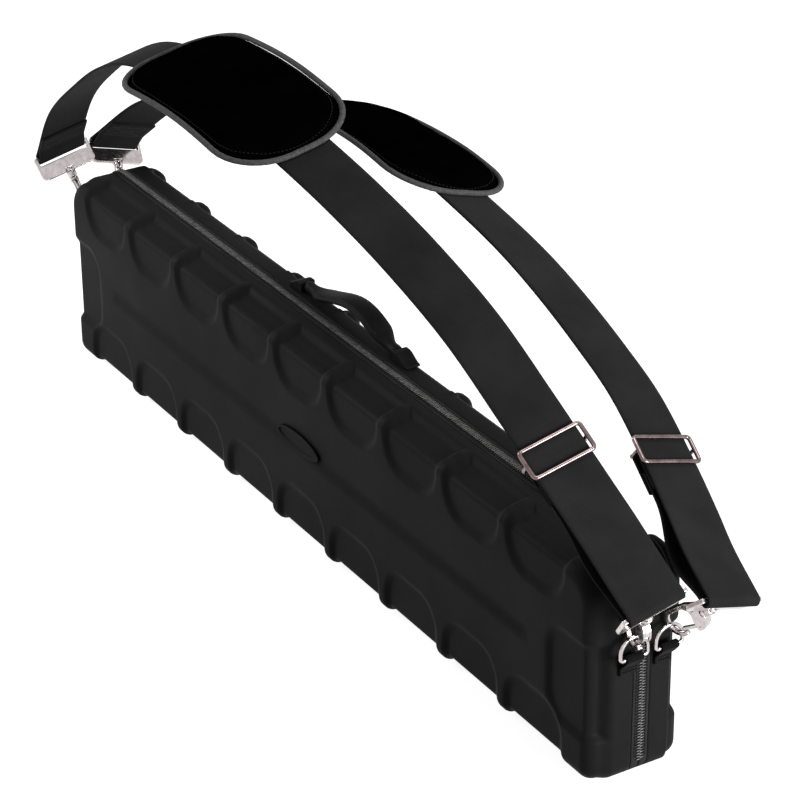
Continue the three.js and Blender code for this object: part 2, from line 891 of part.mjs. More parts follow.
function padPiping(curve, padCentre) {
  const middle = distanceAtX(curve, padCentre);
  const base = wrapRadius + webbingThickness / 2 + seat;
  const length = padLength - pipingWire;
  const width = padWidth - pipingWire;
  const centres = [];
  const spots = padSpots(length, 22);
  for (const spot of spots) {
    centres.push([spot, -padHalfWidth(spot, length, width)]);
  }
  for (const spot of spots.reverse()) {
    centres.push([spot, padHalfWidth(spot, length, width)]);
  }
  const sides = 6;
  const rings = centres.map(([spot, y], i) => {
    const [spot0, y0] = centres[(i + centres.length - 1) % centres.length];
    const [spot1, y1] = centres[(i + 1) % centres.length];
    const size = Math.hypot(spot1 - spot0, y1 - y0);
    const ring = [];
    for (let j = 0; j < sides; j += 1) {
      const angle = (2 * Math.PI * (j + 0.5)) / sides;
      const out = (pipingWire / 2) * Math.cos(angle);
      const up = (pipingWire / 2) * (1 + Math.sin(angle));
      const distance = middle + spot + ((y1 - y0) / size) * out;
      const [x, z] = archPoint(curve, distance, base + up);
      ring.push([x, y - ((spot1 - spot0) / size) * out, z]);
    }
    return ring;
  });
  return skin(rings, true);
}

// Tri-glide: wire frame over the webbing, centre bar under it with the sewn webbing end round it
function glideHalfWidth() {
  return webbingWidth / 2 + webbingSidePlay + glideWire / 2;
}

function glideFrame() {
  const x = (glideLength - glideWire) / 2;
  const y = glideHalfWidth();
  const z = webbingThickness / 2 + runningGap + glideWire / 2;
  const path = [];
  for (const [sx, sy, start] of [[1, 1, 0], [-1, 1, 90], [-1, -1, 180], [1, -1, 270]]) {
    for (let i = 0; i <= 3; i += 1) {
      const angle = ((start + 30 * i) * Math.PI) / 180;
      const spotX = sx * (x - glideCorner) + glideCorner * Math.cos(angle);
      const spotY = sy * (y - glideCorner) + glideCorner * Math.sin(angle);
      path.push(new THREE.Vector3(spotX, spotY, z));
    }
  }
  return closedTube(path, glideWire / 2, new THREE.Vector3(0, 0, 1));
}

function glideBar() {
  const half = glideHalfWidth();
  const rod = rodAlongY(glideWire / 2, -half - glidePost / 2, half + glidePost / 2);
  rod.translate(0, 0, -glideBarDrop);
  const top = webbingThickness / 2 + runningGap - seat;
  const thick = glidePost / 2;
  const posts = [-1, 1].map((side) => {
    const middle = side * half;
    return block(-thick, thick, middle - thick, middle + thick, -glideBarDrop, top);
  });
  return join(rod, ...posts);
}

function glideWebbing() {
  const turn = glideWire / 2 + runningGap + webbingThickness / 2;
  const line = [[endTail, turn - glideBarDrop]];
  const steps = 8;
  for (let i = 0; i <= steps; i += 1) {
    const angle = Math.PI / 2 + (Math.PI * i) / steps;
    line.push([turn * Math.cos(angle), turn * Math.sin(angle) - glideBarDrop]);
  }
  line.push([endTail, -turn - glideBarDrop]);
  return bandAlong(line, webbingThickness, webbingWidth);
}

// Strap fitting, along local Z from the end bar down to the D-ring
function strapLoop() {
  const cornerStart = loopPlateEnd - loopCorner;
  const cornerEnd = loopHalf - loopCorner;
  const outline = polygon([
    [-loopHalf, -barHalf], [loopHalf, -barHalf], [loopHalf, cornerStart], [cornerEnd, loopPlateEnd],
    [eyeHalf, loopPlateEnd], [eyeHalf, loopPlateEnd + over], [-eyeHalf, loopPlateEnd + over],
    [-eyeHalf, loopPlateEnd], [-cornerEnd, loopPlateEnd], [-loopHalf, cornerStart],
  ]);
  const slotHalf = loopHalf - loopArm;
  const headHalf = headRadius + runningGap;
  outline.holes.push(polygon([
    [-slotHalf, barHalf], [slotHalf, barHalf], [slotHalf, slotEnd], [-slotHalf, slotEnd],
  ]));
  outline.holes.push(polygon([
    [-headHalf, windowStart], [headHalf, windowStart], [headHalf, loopPlateEnd], [-headHalf, loopPlateEnd],
  ]));
  const plate = prismAlongX(outline, -barHalf, barHalf);
  const eyeBlock = rodAlongZ(eyeHalf, loopPlateEnd, loopPlateEnd + eyeLength);
  const bore = rodAlongZ(stemRadius + runningGap, loopPlateEnd - over, loopPlateEnd + eyeLength + over);
  return cut(join(plate, eyeBlock), bore);
}

function hookSizes() {
  const top = loopPlateEnd + eyeLength + seat;
  const eye = hookReach + ringWire / 2 + hookSlack - hookEyeRadius;
  const outer = hookEyeRadius + hookArm;
  const pivotX = -outer + gateInset;
  const pivotZ = top + hookNeck;
  return { top, eye, outer, pivotX, pivotZ, noseZ: eye - noseDrop, rootZ: pivotZ + rootRise };
}

function arcPoints(centreZ, radius, steps) {
  const points = [];
  for (let i = 0; i <= steps; i += 1) {
    const angle = (Math.PI * i) / steps;
    points.push([radius * Math.cos(angle), centreZ + radius * Math.sin(angle)]);
  }
  return points;
}

function hookBody() {
  const { top, eye, outer, pivotX, pivotZ, noseZ, rootZ } = hookSizes();
  const neck = hookNeckHalf;
  const collar = top + 2 * over;
  const shoulder = [outer * 0.75, pivotZ - hookShoulder];
  const outline = polygon([
    [-neck, collar], [neck, collar], shoulder, [outer, pivotZ + hookWaist], ...arcPoints(eye, outer, 10),
    [-outer, pivotZ - hookWaist], [-shoulder[0], shoulder[1]],
  ]);
  const hole = polygon([
    [hookEyeRadius / 2, pivotZ + hookWaist], [hookEyeRadius, pivotZ + hookThroat],
    ...arcPoints(eye, hookEyeRadius, 10),
    [-hookEyeRadius, pivotZ + hookThroat], [-hookEyeRadius / 2, pivotZ + hookWaist],
  ]);
  outline.holes.push(hole);
  const thin = hookThickness / 2;
  const cheek = hookCheek / 2;
  const upper = polygon([
    [-neck, collar], [neck, collar], [neck, pivotZ], [pivotX + neck, rootZ - over], [-outer, rootZ - over],
    [-outer, pivotZ - hookWaist], [-shoulder[0], shoulder[1]],
  ]);
  const solid = join(
    prismAlongY(outline, -thin, thin),
    prismAlongY(upper, -cheek, cheek),
    rodAlongZ(neck, top, collar + 2 * over),
    rodAlongZ(stemRadius, loopPlateEnd - seat - over, top + over),
    rodAlongZ(headRadius, loopPlateEnd - seat - headHeight, loopPlateEnd - seat),
  );
  const tongue = gateThickness / 2 + runningGap;
  const reach = cheek + over;
  const gap = block(-outer - over, pivotX + neck, -reach, reach, rootZ - seat, noseZ);
  const slot = block(-outer - over, pivotX + neck, -tongue, tongue, pivotZ - gateInset - over, noseZ);
  const pin = rodAlongY(gatePin, -cheek, cheek);
  pin.translate(pivotX, 0, pivotZ);
  return join(cut(solid, gap, slot), pin);
}

// Gate of a hook; its origin is the pin, and positive turns about +Y open it inwards
function hookGate() {
  const { eye, pivotX, pivotZ, noseZ } = hookSizes();
  const half = gateWidth / 2;
  const lean = Math.atan2(-hookEyeRadius + runningGap + half - pivotX, noseZ - pivotZ);
  const length = (eye - pivotZ) / Math.cos(lean);
  const bar = block(-half, half, -gateThickness / 2, gateThickness / 2, 0, length);
  bar.rotateY(lean);
  const eyeRound = rodAlongY(gateInset, -gateThickness / 2, gateThickness / 2, 12);
  return cut(join(bar, eyeRound), rodAlongY(gatePin + seat, -gateThickness, gateThickness));
}

// Assembly

function caseParts() {
  const root = new THREE.Group();
  const halves = [
    ["front", -1, frontDepth, frontRingY, frontPocketStart],
    ["back", 1, backDepth, backRingY, backPocketStart],
  ];
  for (const [half, side, depth, ringY, pocketStart] of halves) {
    root.add(part(`${half}_shell`, shellHalf(side, depth, pocketStart), "shell"));
    root.add(part(`${half}_zip_tape`, zipTape(side), "tape"));
    root.add(part(`${half}_zip_teeth`, zipTeeth(side), "teeth"));
    root.add(part(`${half}_hinge_tape`, hingeTape(side), "tape"));
    for (const [end, turn] of [["near", 0], ["far", Math.PI]]) {
      const place = new THREE.Group();
      place.rotation.z = turn;
      place.position.set(Math.cos(turn) * ringX, ringY, ringHeight);
      place.add(part(`${half}_d_ring_${end}`, dRing(), "steel"));
      const tab = part(`${half}_ring_tab_${end}`, ringTab(), "webbing");
      tab.position.z = -ringLeg;
      place.add(tab);
      root.add(place);
    }
  }
  root.add(part("back_cue_foam", backFoam(), "foam"));
  root.add(part("front_foam_pad", frontFoam(), "foam"));
  root.add(part("elastic_band_far", elasticBand(-1), "band"));
  root.add(part("elastic_band_near", elasticBand(1), "band"));
  root.add(part("oval_badge", badge(), "badge"));
  root.add(part("handle_anchor_far", handleAnchor(-1), "handle"));
  root.add(part("handle_anchor_near", handleAnchor(1), "handle"));
  root.add(part("handle_grip", handleGrip(), "handle"));
  for (const [end, side] of [["far", -1], ["near", 1]]) {
    const slider = new THREE.Group();
    slider.position.x = sliderCentre + (side * sliderSpacing) / 2;
    slider.add(part(`zip_slider_${end}`, sliderBody(), "teeth"));
    const pull = part(`zip_pull_${end}`, pullTab(), "teeth");
    pull.rotation.z = side < 0 ? Math.PI : 0;
    pull.position.z = sliderTop() + windowHeight / 2;
    slider.add(pull);
    root.add(slider);
  }
  return root;
}

function strapEnd(strap, end, curve, swivel) {
  const side = end === "far" ? -1 : 1;
  const bar = curve.getPointAt(side < 0 ? 0 : 1);
  const down = new THREE.Vector3(side * ringX - bar.x, 0, bowRadius - bar.z).normalize();
  const across = new THREE.Vector3(0, side, 0);
  const outward = new THREE.Vector3().crossVectors(across, down);
  const place = new THREE.Group();
  place.quaternion.setFromRotationMatrix(new THREE.Matrix4().makeBasis(outward, across, down));
  place.position.copy(bar);
  place.add(part(`${strap}_strap_loop_${end}`, strapLoop(), "steel"));
  const hook = new THREE.Group();
  hook.rotation.z = (swivel * Math.PI) / 180;
  hook.add(part(`${strap}_hook_${end}`, hookBody(), "steel"));
  const gate = part(`${strap}_hook_gate_${end}`, hookGate(), "steel");
  const { pivotX, pivotZ } = hookSizes();
  gate.position.set(pivotX, 0, pivotZ);
  hook.add(gate);
  place.add(hook);
  return place;
}

function strapAssembly(strap, { ringY, lean, swivel, padCentre, ...shape }) {
  const curve = archCurve(shape);
  const group = new THREE.Group();
  group.position.set(0, ringY, ringHeight);
  group.rotation.x = (lean * Math.PI) / 180;
  group.add(part(`${strap}_strap_webbing`, strapWebbing(curve), "webbing"));
  group.add(part(`${strap}_shoulder_pad`, shoulderPad(curve, padCentre), "pad"));
  group.add(part(`${strap}_pad_piping`, padPiping(curve, padCentre), "piping"));
  const glide = new THREE.Group();
  const glideAt = distanceAtX(curve, ringX - glideFromRing);
  const [x, z] = archPoint(curve, glideAt, wrapRadius);
  const [startX, startZ] = archPoint(curve, glideAt - glideLength / 2, wrapRadius);
  const [tailX, tailZ] = archPoint(curve, glideAt + endTail, wrapRadius);
  const along = new THREE.Vector3(tailX - startX, 0, tailZ - startZ).normalize();
  const outward = new THREE.Vector3(-along.z, 0, along.x);
  const turn = new THREE.Matrix4().makeBasis(along, new THREE.Vector3(0, 1, 0), outward);
  glide.quaternion.setFromRotationMatrix(turn);
  glide.position.set(x, 0, z);
  glide.add(part(`${strap}_glide_frame`, glideFrame(), "glide"));
  glide.add(part(`${strap}_glide_bar`, glideBar(), "glide"));
  glide.add(part(`${strap}_glide_webbing_end`, glideWebbing(), "webbing"));
  group.add(glide);
  group.add(strapEnd(strap, "far", curve, swivel));
  group.add(strapEnd(strap, "near", curve, swivel));
  return group;
}

const cueCase = new THREE.Group();
cueCase.add(caseParts());
cueCase.add(strapAssembly("front", {
  ringY: frontRingY,
  lean: frontLeanAngle,
  swivel: frontSwivelAngle,
  padCentre: frontPadCentre,
  arch: frontArch,
  rise: frontStrapRise,
  farAngle: frontFarAngle,
  nearAngle: frontNearAngle,
}));
cueCase.add(strapAssembly("back", {
  ringY: backRingY,
  lean: backLeanAngle,
  swivel: backSwivelAngle,
  padCentre: backPadCentre,
  arch: backArch,
  rise: backStrapRise,
  farAngle: backFarAngle,
  nearAngle: backNearAngle,
}));

export default cueCase;
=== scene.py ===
import math

import bmesh
import bpy
import numpy as np
from mathutils import Matrix, Vector
from mathutils.bvhtree import BVHTree
from mathutils.geometry import tessellate_polygon


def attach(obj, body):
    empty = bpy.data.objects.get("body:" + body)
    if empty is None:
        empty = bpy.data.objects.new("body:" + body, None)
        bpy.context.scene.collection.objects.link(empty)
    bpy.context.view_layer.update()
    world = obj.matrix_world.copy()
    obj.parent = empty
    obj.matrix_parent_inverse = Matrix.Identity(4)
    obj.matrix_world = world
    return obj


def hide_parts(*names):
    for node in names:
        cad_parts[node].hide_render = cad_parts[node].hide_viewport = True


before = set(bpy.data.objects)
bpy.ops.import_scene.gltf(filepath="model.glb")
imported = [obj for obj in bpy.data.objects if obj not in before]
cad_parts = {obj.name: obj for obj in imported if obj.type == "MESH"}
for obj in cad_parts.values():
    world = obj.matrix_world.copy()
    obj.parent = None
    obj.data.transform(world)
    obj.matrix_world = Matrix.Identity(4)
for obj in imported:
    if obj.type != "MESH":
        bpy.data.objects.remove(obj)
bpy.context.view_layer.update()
print("cue case: packed model loaded")


# A shape is (points in millimetres, faces, cloth coordinates or None). makePiece turns it into
# a mesh in metres.

def circle(count):
    return np.linspace(0, 2 * math.pi, count, endpoint=False)


def arc(radius, start, end, count, centre=(0, 0)):
    # points on a part of a circle, with its angles in degrees
    return [(centre[0] + radius * math.cos(a), centre[1] + radius * math.sin(a))
            for a in np.radians(np.linspace(start, end, count))]


def ease(t):
    return t * t * (3 - 2 * t)


def limited(value, low=0, high=1):
    return min(high, max(low, value))


def unit(vectors):
    return vectors / np.linalg.norm(vectors, axis=-1, keepdims=True)


def leftOf(along):
    return np.array([-along[1], along[0]])


def runOf(line):
    # distance along a line at each of its points
    return np.concatenate([[0], np.cumsum(np.linalg.norm(np.diff(line, axis=0), axis=1))])


def split(start, end, step):
    # points from start to just before end, about one step apart
    count = max(1, round(math.dist(start, end) / step))
    return [tuple(a + (b - a) * i / count for a, b in zip(start, end)) for i in range(count)]


def axes(origin, xAxis, yAxis, zAxis):
    place = Matrix.Identity(4)
    for column, vector in enumerate((xAxis, yAxis, zAxis, origin)):
        for row in range(3):
            place[row][column] = vector[row]
    return place


def shift(x, y, z):
    return Matrix.Translation((x, y, z))


def moved(shape, place):
    points, faces, cloth = shape
    matrix = np.array(place)
    return np.asarray(points) @ matrix[:3, :3].T + matrix[:3, 3], faces, cloth


def together(*shapes):
    points, faces, start = [], [], 0
    for some, corners, _ in shapes:
        points.append(np.asarray(some, float))
        faces += [tuple(start + i for i in face) for face in corners]
        start += len(some)
    return np.vstack(points), faces, None


def gridFaces(rows, columns, closedRows=False, closedColumns=True):
    faces = []
    for i in range(rows if closedRows else rows - 1):
        for j in range(columns if closedColumns else columns - 1):
            a, b, c = i * columns + j, i * columns + (j + 1) % columns, ((i + 1) % rows) * columns
            faces.append((a, b, c + (j + 1) % columns, c + j))
    return faces


def loft(rings, cloth=None, hollow=False):
    # skin over rings of points: its two ends closed, or its last ring joined to the first
    count, size = len(rings), len(rings[0])
    faces = gridFaces(count, size, closedRows=hollow)
    if not hollow:
        faces += [tuple(range(size)), tuple(range((count - 1) * size, count * size))]
    return np.array(rings, float).reshape(-1, 3), faces, cloth


def tube(path, radius, normal, sides=14):
    # round wire along a closed path
    path = np.array(path, float)
    along = unit(np.roll(path, -1, 0) - np.roll(path, 1, 0))
    side = unit(np.cross(along, np.array(normal, float)))
    over, angles = np.cross(side, along), circle(sides)[:, None]
    around = np.cos(angles) * side[:, None] + np.sin(angles) * over[:, None]
    return loft(path[:, None] + radius * around, hollow=True)


def rod(start, end, radius, chamfer=0.3, sides=20):
    # straight round bar with slightly rounded ends
    start, end = np.array(start, float), np.array(end, float)
    along = unit(end - start)
    side = unit(np.cross(along, (0, 0, 1) if abs(along[2]) < 0.9 else (1, 0, 0)))
    over = np.cross(along, side)
    steps = [(along * chamfer * back, radius - chamfer * less)
             for back, less in ((0, 1), (0.3, 0.3), (1, 0))]
    rows = [(start + step, size) for step, size in steps]
    rows += [(end - step, size) for step, size in reversed(steps)]
    around = [side * math.cos(a) + over * math.sin(a) for a in circle(sides)]
    return loft([[spot + size * out for out in around] for spot, size in rows])


def lathe(profile, steps=32, hollow=False):
    # profile holds (radius, height) along local Z
    return loft([[(r * math.cos(a), r * math.sin(a), z) for a in circle(steps)]
                 for r, z in profile], hollow=hollow)


def rounded(points, radius, steps=4):
    # the same outline with its corners rounded off
    spots, count = [], len(points)
    for i in range(count):
        before, here, after = (np.array(points[k % count], float) for k in (i - 1, i, i + 1))
        a, b = before - here, after - here
        lengthA, lengthB = np.linalg.norm(a), np.linalg.norm(b)
        if np.dot(a, b) < -0.95 * lengthA * lengthB:   # nearly straight
            spots.append(tuple(here))
            continue
        reach = min(radius, lengthA * 0.45, lengthB * 0.45)
        start, end = here + a / lengthA * reach, here + b / lengthB * reach
        for t in np.linspace(0, 1, steps + 1):
            spots.append(tuple((1 - t) ** 2 * start + 2 * t * (1 - t) * here + t ** 2 * end))
    return spots


def roundBox(halfX, halfY, radius, steps=6):
    spots = []
    for cx, cy, start in ((1, 1, 0), (-1, 1, 90), (-1, -1, 180), (1, -1, 270)):
        centre = cx * (halfX - radius), cy * (halfY - radius)
        spots += arc(radius, start, start + 90, steps + 1, centre)
    return spots


def turnedLoop(loop, anticlockwise):
    loop = np.array(loop, float)
    after = np.roll(loop, -1, 0)
    area = np.sum(loop[:, 0] * after[:, 1] - after[:, 0] * loop[:, 1])
    return loop if (area > 0) == anticlockwise else loop[::-1]


def drawnIn(loop, distance):
    # closed loop moved to its left, which is into the plate
    before, after = unit(loop - np.roll(loop, 1, 0)), unit(np.roll(loop, -1, 0) - loop)
    left = np.column_stack([-before[:, 1] - after[:, 1], before[:, 0] + after[:, 0]])
    size = 1 + np.sum(before * after, axis=1)
    return loop + distance * left / np.maximum(size, 0.5)[:, None]


def plate(outline, holes, half, edge):
    # flat plate in local XY with rounded edges, from -half to half along Z
    loops = [turnedLoop(outline, True)] + [turnedLoop(hole, False) for hole in holes]
    curve = [(edge * (1 - math.sin(a)), edge * (1 - math.cos(a)) - half)
             for a in np.linspace(0, math.pi / 2, 5)]
    profile = curve + [(inset, -z) for inset, z in reversed(curve)]
    points, faces, start, bottom, top, rings = [], [], 0, [], [], []
    for loop in loops:
        count = len(loop)
        layers = [np.column_stack([drawnIn(loop, inset), np.full(count, z)])
                  for inset, z in profile]
        points += layers
        rings.append([Vector(p) for p in layers[0]])
        faces += [tuple(start + i for i in face) for face in gridFaces(len(profile), count)]
        bottom += [start + i for i in range(count)]
        start += len(profile) * count
        top += [start - count + i for i in range(count)]
    for triangle in tessellate_polygon(rings):
        faces.append(tuple(bottom[i] for i in triangle))
        faces.append(tuple(top[i] for i in triangle))
    return np.vstack(points), faces, None


def ribbon(line, width, thickness, edge=0.5):
    # band with rounded edges along a line in local XZ, its width along Y
    line = np.array(line, float)
    along = unit(np.vstack([line[1:], line[-1:]]) - np.vstack([line[:1], line[:-1]]))
    half, thick = width / 2, thickness / 2
    upper = [(-half + edge * 0.3, thick * 0.7), (-half + edge, thick)]
    upper += [(y, thick) for y in np.linspace(-half * 0.85, half * 0.85, 5)]
    upper += [(half - edge, thick), (half - edge * 0.3, thick * 0.7)]
    section = [(-half, 0)] + upper + [(half, 0)] + [(y, -n) for y, n in reversed(upper)]
    rings = [[(x - dz * n, y, z + dx * n) for y, n in section]
             for (x, z), (dx, dz) in zip(line, along)]
    cloth = [(y, at) for at in runOf(line) for y, _ in section]   # in millimetres
    return loft(rings, np.array(cloth))


def threads(spots, length, thickness):
    # short raised stitches; each spot is (middle, along, up)
    rows, stitches = [(-0.5, 0.15), (-0.34, 0.8), (0, 1.0), (0.34, 0.8), (0.5, 0.15)], []
    for middle, along, up in spots:
        middle, along, up = (np.array(v, float) for v in (middle, along, up))
        along, up = unit(along), unit(up)
        side = np.cross(along, up)
        around = [side * math.cos(a) + up * (math.sin(a) + 0.3) for a in circle(6)]
        stitches.append(loft([[middle + along * length * t + out * thickness / 2 * size
                               for out in around] for t, size in rows]))
    return together(*stitches)


def linked(thing):
    bpy.context.scene.collection.objects.link(thing)
    return thing


def makePiece(name, shape, place=None, weld=None, crisp=False):
    points, faces, cloth = shape
    mesh = bpy.data.meshes.new(name)
    mesh.from_pydata([tuple(p) for p in points], [], faces)
    mesh.update()
    if cloth is not None:
        layer = mesh.uv_layers.new(name="cloth")
        corners = np.empty(len(mesh.loops), dtype=np.int32)
        mesh.loops.foreach_get("vertex_index", corners)
        layer.data.foreach_set("uv", np.asarray(cloth, np.float32)[corners].ravel())
    bm = bmesh.new()
    bm.from_mesh(mesh)
    if weld:
        bmesh.ops.remove_doubles(bm, verts=bm.verts, dist=weld)
    bmesh.ops.recalc_face_normals(bm, faces=bm.faces)
    bm.to_mesh(mesh)
    bm.free()
    mesh.transform(Matrix.Scale(0.001, 4) @ (place or Matrix.Identity(4)))
    mesh.polygons.foreach_set("use_smooth", [True] * len(mesh.polygons))
    piece = linked(bpy.data.objects.new(name, mesh))
    if crisp:   # flat faces stay flat between their rounded edges
        piece.modifiers.new("normals", "WEIGHTED_NORMAL").weight = 80
    return piece


def dress(name, shape, material, body, slotName, *nodes, **options):
    # one visible piece on its body, in the place of the nodes named
    piece = makePiece(name, shape, **options)
    piece.data.materials.append(material)
    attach(piece, body)
    if nodes:
        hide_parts(*nodes)
    return piece


# materials

def addNode(tree, kind, inputs, **settings):
    # inputs are numbers, colours or other nodes' sockets
    node = tree.nodes.new("ShaderNode" + kind)
    for name, value in settings.items():
        setattr(node, name, value)
    for name, value in inputs.items():
        if isinstance(value, bpy.types.NodeSocket):
            tree.links.new(value, node.inputs[name])
        else:
            node.inputs[name].default_value = value
    return node


def newMaterial(name, colour, roughness, specular=0.5, metallic=0.0):
    material = bpy.data.materials.new(name)
    material.use_nodes = True
    tree = material.node_tree
    shader = tree.nodes["Principled BSDF"]
    shader.inputs["Base Color"].default_value = (*colour, 1)
    shader.inputs["Roughness"].default_value = roughness
    shader.inputs["Metallic"].default_value = metallic
    shader.inputs["Specular IOR Level"].default_value = specular
    return material, tree, shader


def sums(tree, kind, *values):
    return addNode(tree, "Math", dict(enumerate(values)), operation=kind).outputs[0]


def plus(tree, a, b):
    return sums(tree, "ADD", a, b)


def times(tree, a, b):
    return sums(tree, "MULTIPLY", a, b)


def objectPoint(tree):
    return addNode(tree, "TexCoord", {}).outputs["Object"]


def noise(tree, point, scale, detail=3.0, roughness=0.55):
    return addNode(tree, "TexNoise", {"Vector": point, "Scale": scale, "Detail": detail,
                                      "Roughness": roughness}).outputs["Fac"]


def cells(tree, point, scale):
    return addNode(tree, "TexVoronoi", {"Scale": scale, "Vector": point},
                   feature="SMOOTH_F1").outputs["Distance"]


def spread(tree, value, low, high):
    # the middle of a noise's range, stretched from low to high
    return addNode(tree, "MapRange", {"Value": value, "From Min": 0.3, "From Max": 0.7,
                                      "To Min": low, "To Max": high}).outputs["Result"]


def tint(tree, shader, value, dark, light):
    ramp = addNode(tree, "ValToRGB", {"Fac": value})
    for element, place, colour in zip(ramp.color_ramp.elements, (0.3, 0.7), (dark, light)):
        element.position = place
        element.color = (*colour, 1)
    tree.links.new(ramp.outputs["Color"], shader.inputs["Base Color"])


def bump(tree, shader, height, distance, strength):
    node = addNode(tree, "Bump", {"Strength": strength, "Distance": distance, "Height": height})
    tree.links.new(node.outputs["Normal"], shader.inputs["Normal"])


def mouldedShell():
    # pressed shell: fine pebble grain, slightly uneven in gloss, faint scuffs
    material, tree, shader = newMaterial("mouldedShell", (0.011, 0.011, 0.0113), 0.62, 0.03)
    point = objectPoint(tree)
    wide, scuff = noise(tree, point, 11, 4), noise(tree, point, 160, 5, 0.7)
    mixed = plus(tree, times(tree, wide, 0.6), times(tree, scuff, 0.4))
    tint(tree, shader, mixed, (0.008, 0.008, 0.0082), (0.0125, 0.0125, 0.0128))
    tree.links.new(spread(tree, wide, 0.5, 0.66), shader.inputs["Roughness"])
    grain = plus(tree, cells(tree, point, 900), times(tree, scuff, 0.5))
    bump(tree, shader, grain, 0.0001, 0.6)
    return material


def clothWeave(tree, across, along):
    # over and under threads from the piece's own cloth coordinates, in millimetres
    uv = addNode(tree, "UVMap", {}, uv_map="cloth").outputs["UV"]
    parts = addNode(tree, "SeparateXYZ", {"Vector": uv})
    u = times(tree, parts.outputs["X"], 2 * math.pi / across)
    v = times(tree, parts.outputs["Y"], 2 * math.pi / along)
    waves = plus(tree, v, times(tree, sums(tree, "SINE", u), 1.3))
    return times(tree, plus(tree, sums(tree, "SINE", waves), sums(tree, "COSINE", u)), 0.5), uv


def wovenCloth(name, dark, light, across, along, relief=0.00018):
    material, tree, shader = newMaterial(name, (light, light, light), 0.85, 0.03)
    weave, uv = clothWeave(tree, across, along)
    mixed = plus(tree, times(tree, weave, 0.12), noise(tree, uv, 0.02, 3))
    tint(tree, shader, mixed, (dark, dark, dark * 1.04), (light, light, light * 1.04))
    bump(tree, shader, weave, relief, 0.6)
    shader.inputs["Sheen Weight"].default_value = 0.03
    shader.inputs["Sheen Roughness"].default_value = 0.4
    return material


def mattSkin(name, dark, light, roughness, specular, mottle, grain, relief, sheen=0.0):
    # mottle is the colour's (noise scale, detail), grain is (noise or cells, scale, detail) of the
    # relief, and relief is its (depth, strength)
    material, tree, shader = newMaterial(name, light, roughness, specular)
    point = objectPoint(tree)
    tint(tree, shader, noise(tree, point, *mottle), dark, light)
    bump(tree, shader, grain[0](tree, point, *grain[1:]), *relief)
    shader.inputs["Sheen Weight"].default_value = sheen
    return material


def yarn(name, dark, light):
    # bindings, thread and other small trim
    return mattSkin(name, (dark, dark, dark), (light, light, light * 1.02), 0.75, 0.15, (420, 2),
                    (noise, 1100, 2), (0.00018, 0.6))


def platedMetal(name, dark, light, smooth, rough, grain=140):
    material, tree, shader = newMaterial(name, light, rough, 0.5, 1.0)
    point = objectPoint(tree)
    worn, gloss = noise(tree, point, grain, 4), noise(tree, point, grain * 2.3, 3)
    tint(tree, shader, worn, dark, light)
    tree.links.new(spread(tree, gloss, smooth, rough), shader.inputs["Roughness"])
    bump(tree, shader, worn, 0.00004, 0.3)
    return material


shellSkin = mouldedShell()
padSkin = mattSkin("padCloth", (0.0003, 0.0003, 0.0003), (0.0009, 0.0009, 0.0009), 0.95, 0.0,
                   (30, 3), (cells, 1100), (0.00015, 0.4))
gripSkin = mattSkin("gripRubber", (0.006, 0.006, 0.0062), (0.011, 0.011, 0.0113), 0.6, 0.05,
                    (60, 3), (noise, 1300, 2), (0.0001, 0.6))
foamSkin = mattSkin("flockedFoam", (0.022, 0.022, 0.024), (0.036, 0.036, 0.039), 0.95, 0.1,
                    (40, 4), (noise, 1500, 2), (0.0003, 0.8), 0.2)
badgeSkin = mattSkin("badgePlate", (0.003, 0.003, 0.0031), (0.005, 0.005, 0.0051), 0.5, 0.03,
                     (90, 3), (noise, 800, 2), (0.00006, 0.4))
strapCloth = wovenCloth("strapWebbing", 0.010, 0.016, 2.4, 1.3, 0.00012)
tabCloth = wovenCloth("tabWebbing", 0.004, 0.008, 1.8, 1.1)
zipCloth = wovenCloth("zipTapeCloth", 0.015, 0.026, 1.1, 0.9, 0.0001)
bandCloth = wovenCloth("elasticCloth", 0.007, 0.018, 1.6, 3.2, 0.0003)
edgeCloth = yarn("bindingCloth", 0.032, 0.068)
# dark thread: on the pad it is the seam's own colour, on the zip tape it also paints the shade in
# the gap beside the teeth
darkThreadAndShade = yarn("darkThreadAndShade", 0.003, 0.007)
strapThread = yarn("strapThread", 0.02, 0.036)
steel = platedMetal("polishedSteel", (0.42, 0.38, 0.38), (0.62, 0.57, 0.57), 0.12, 0.26)
rose = platedMetal("warmNickel", (0.11, 0.077, 0.075), (0.24, 0.185, 0.18), 0.16, 0.3, 120)
zipSteel = platedMetal("zipMetal", (0.055, 0.055, 0.054), (0.12, 0.118, 0.116), 0.38, 0.52, 250)


# studio: floor, backdrop colour, lamps and the photograph's camera

studio = {
    "floorSize": 14.0,
    "floorShade": 0.4,
    "floorGlow": 0.9,
    "ambient": 0.12,
    "cameraPlace": (1.9908, -1.1426, 1.3317),
    "cameraTurn": (58.975, 62.283, -0.547),   # about Z, then X, then Z, in degrees
    "lens": 138.75, "sensor": 36, "farthest": 60,
    "lamps": {   # place, target, size, power
        "endLamp": ((3.4, 0.8, 0.9), (0.3, 0, 0.1), 1.8, 190),
        "topLamp": ((0.2, 0.7, 3.2), (0, 0, 0.2), 1.8, 46),
        "faceLamp": ((-1.15, -0.85, 0.75), (-0.85, 0, 0.1), 0.6, 16),
    },
}


def paleLight(tree, strength):
    # shows the studio as white to the camera and in metal without lighting the case more
    path = addNode(tree, "LightPath", {})
    seen = sums(tree, "MAXIMUM", path.outputs["Is Camera Ray"], path.outputs["Is Glossy Ray"])
    seen = sums(tree, "MAXIMUM", seen, path.outputs["Is Transmission Ray"])
    return times(tree, seen, strength)


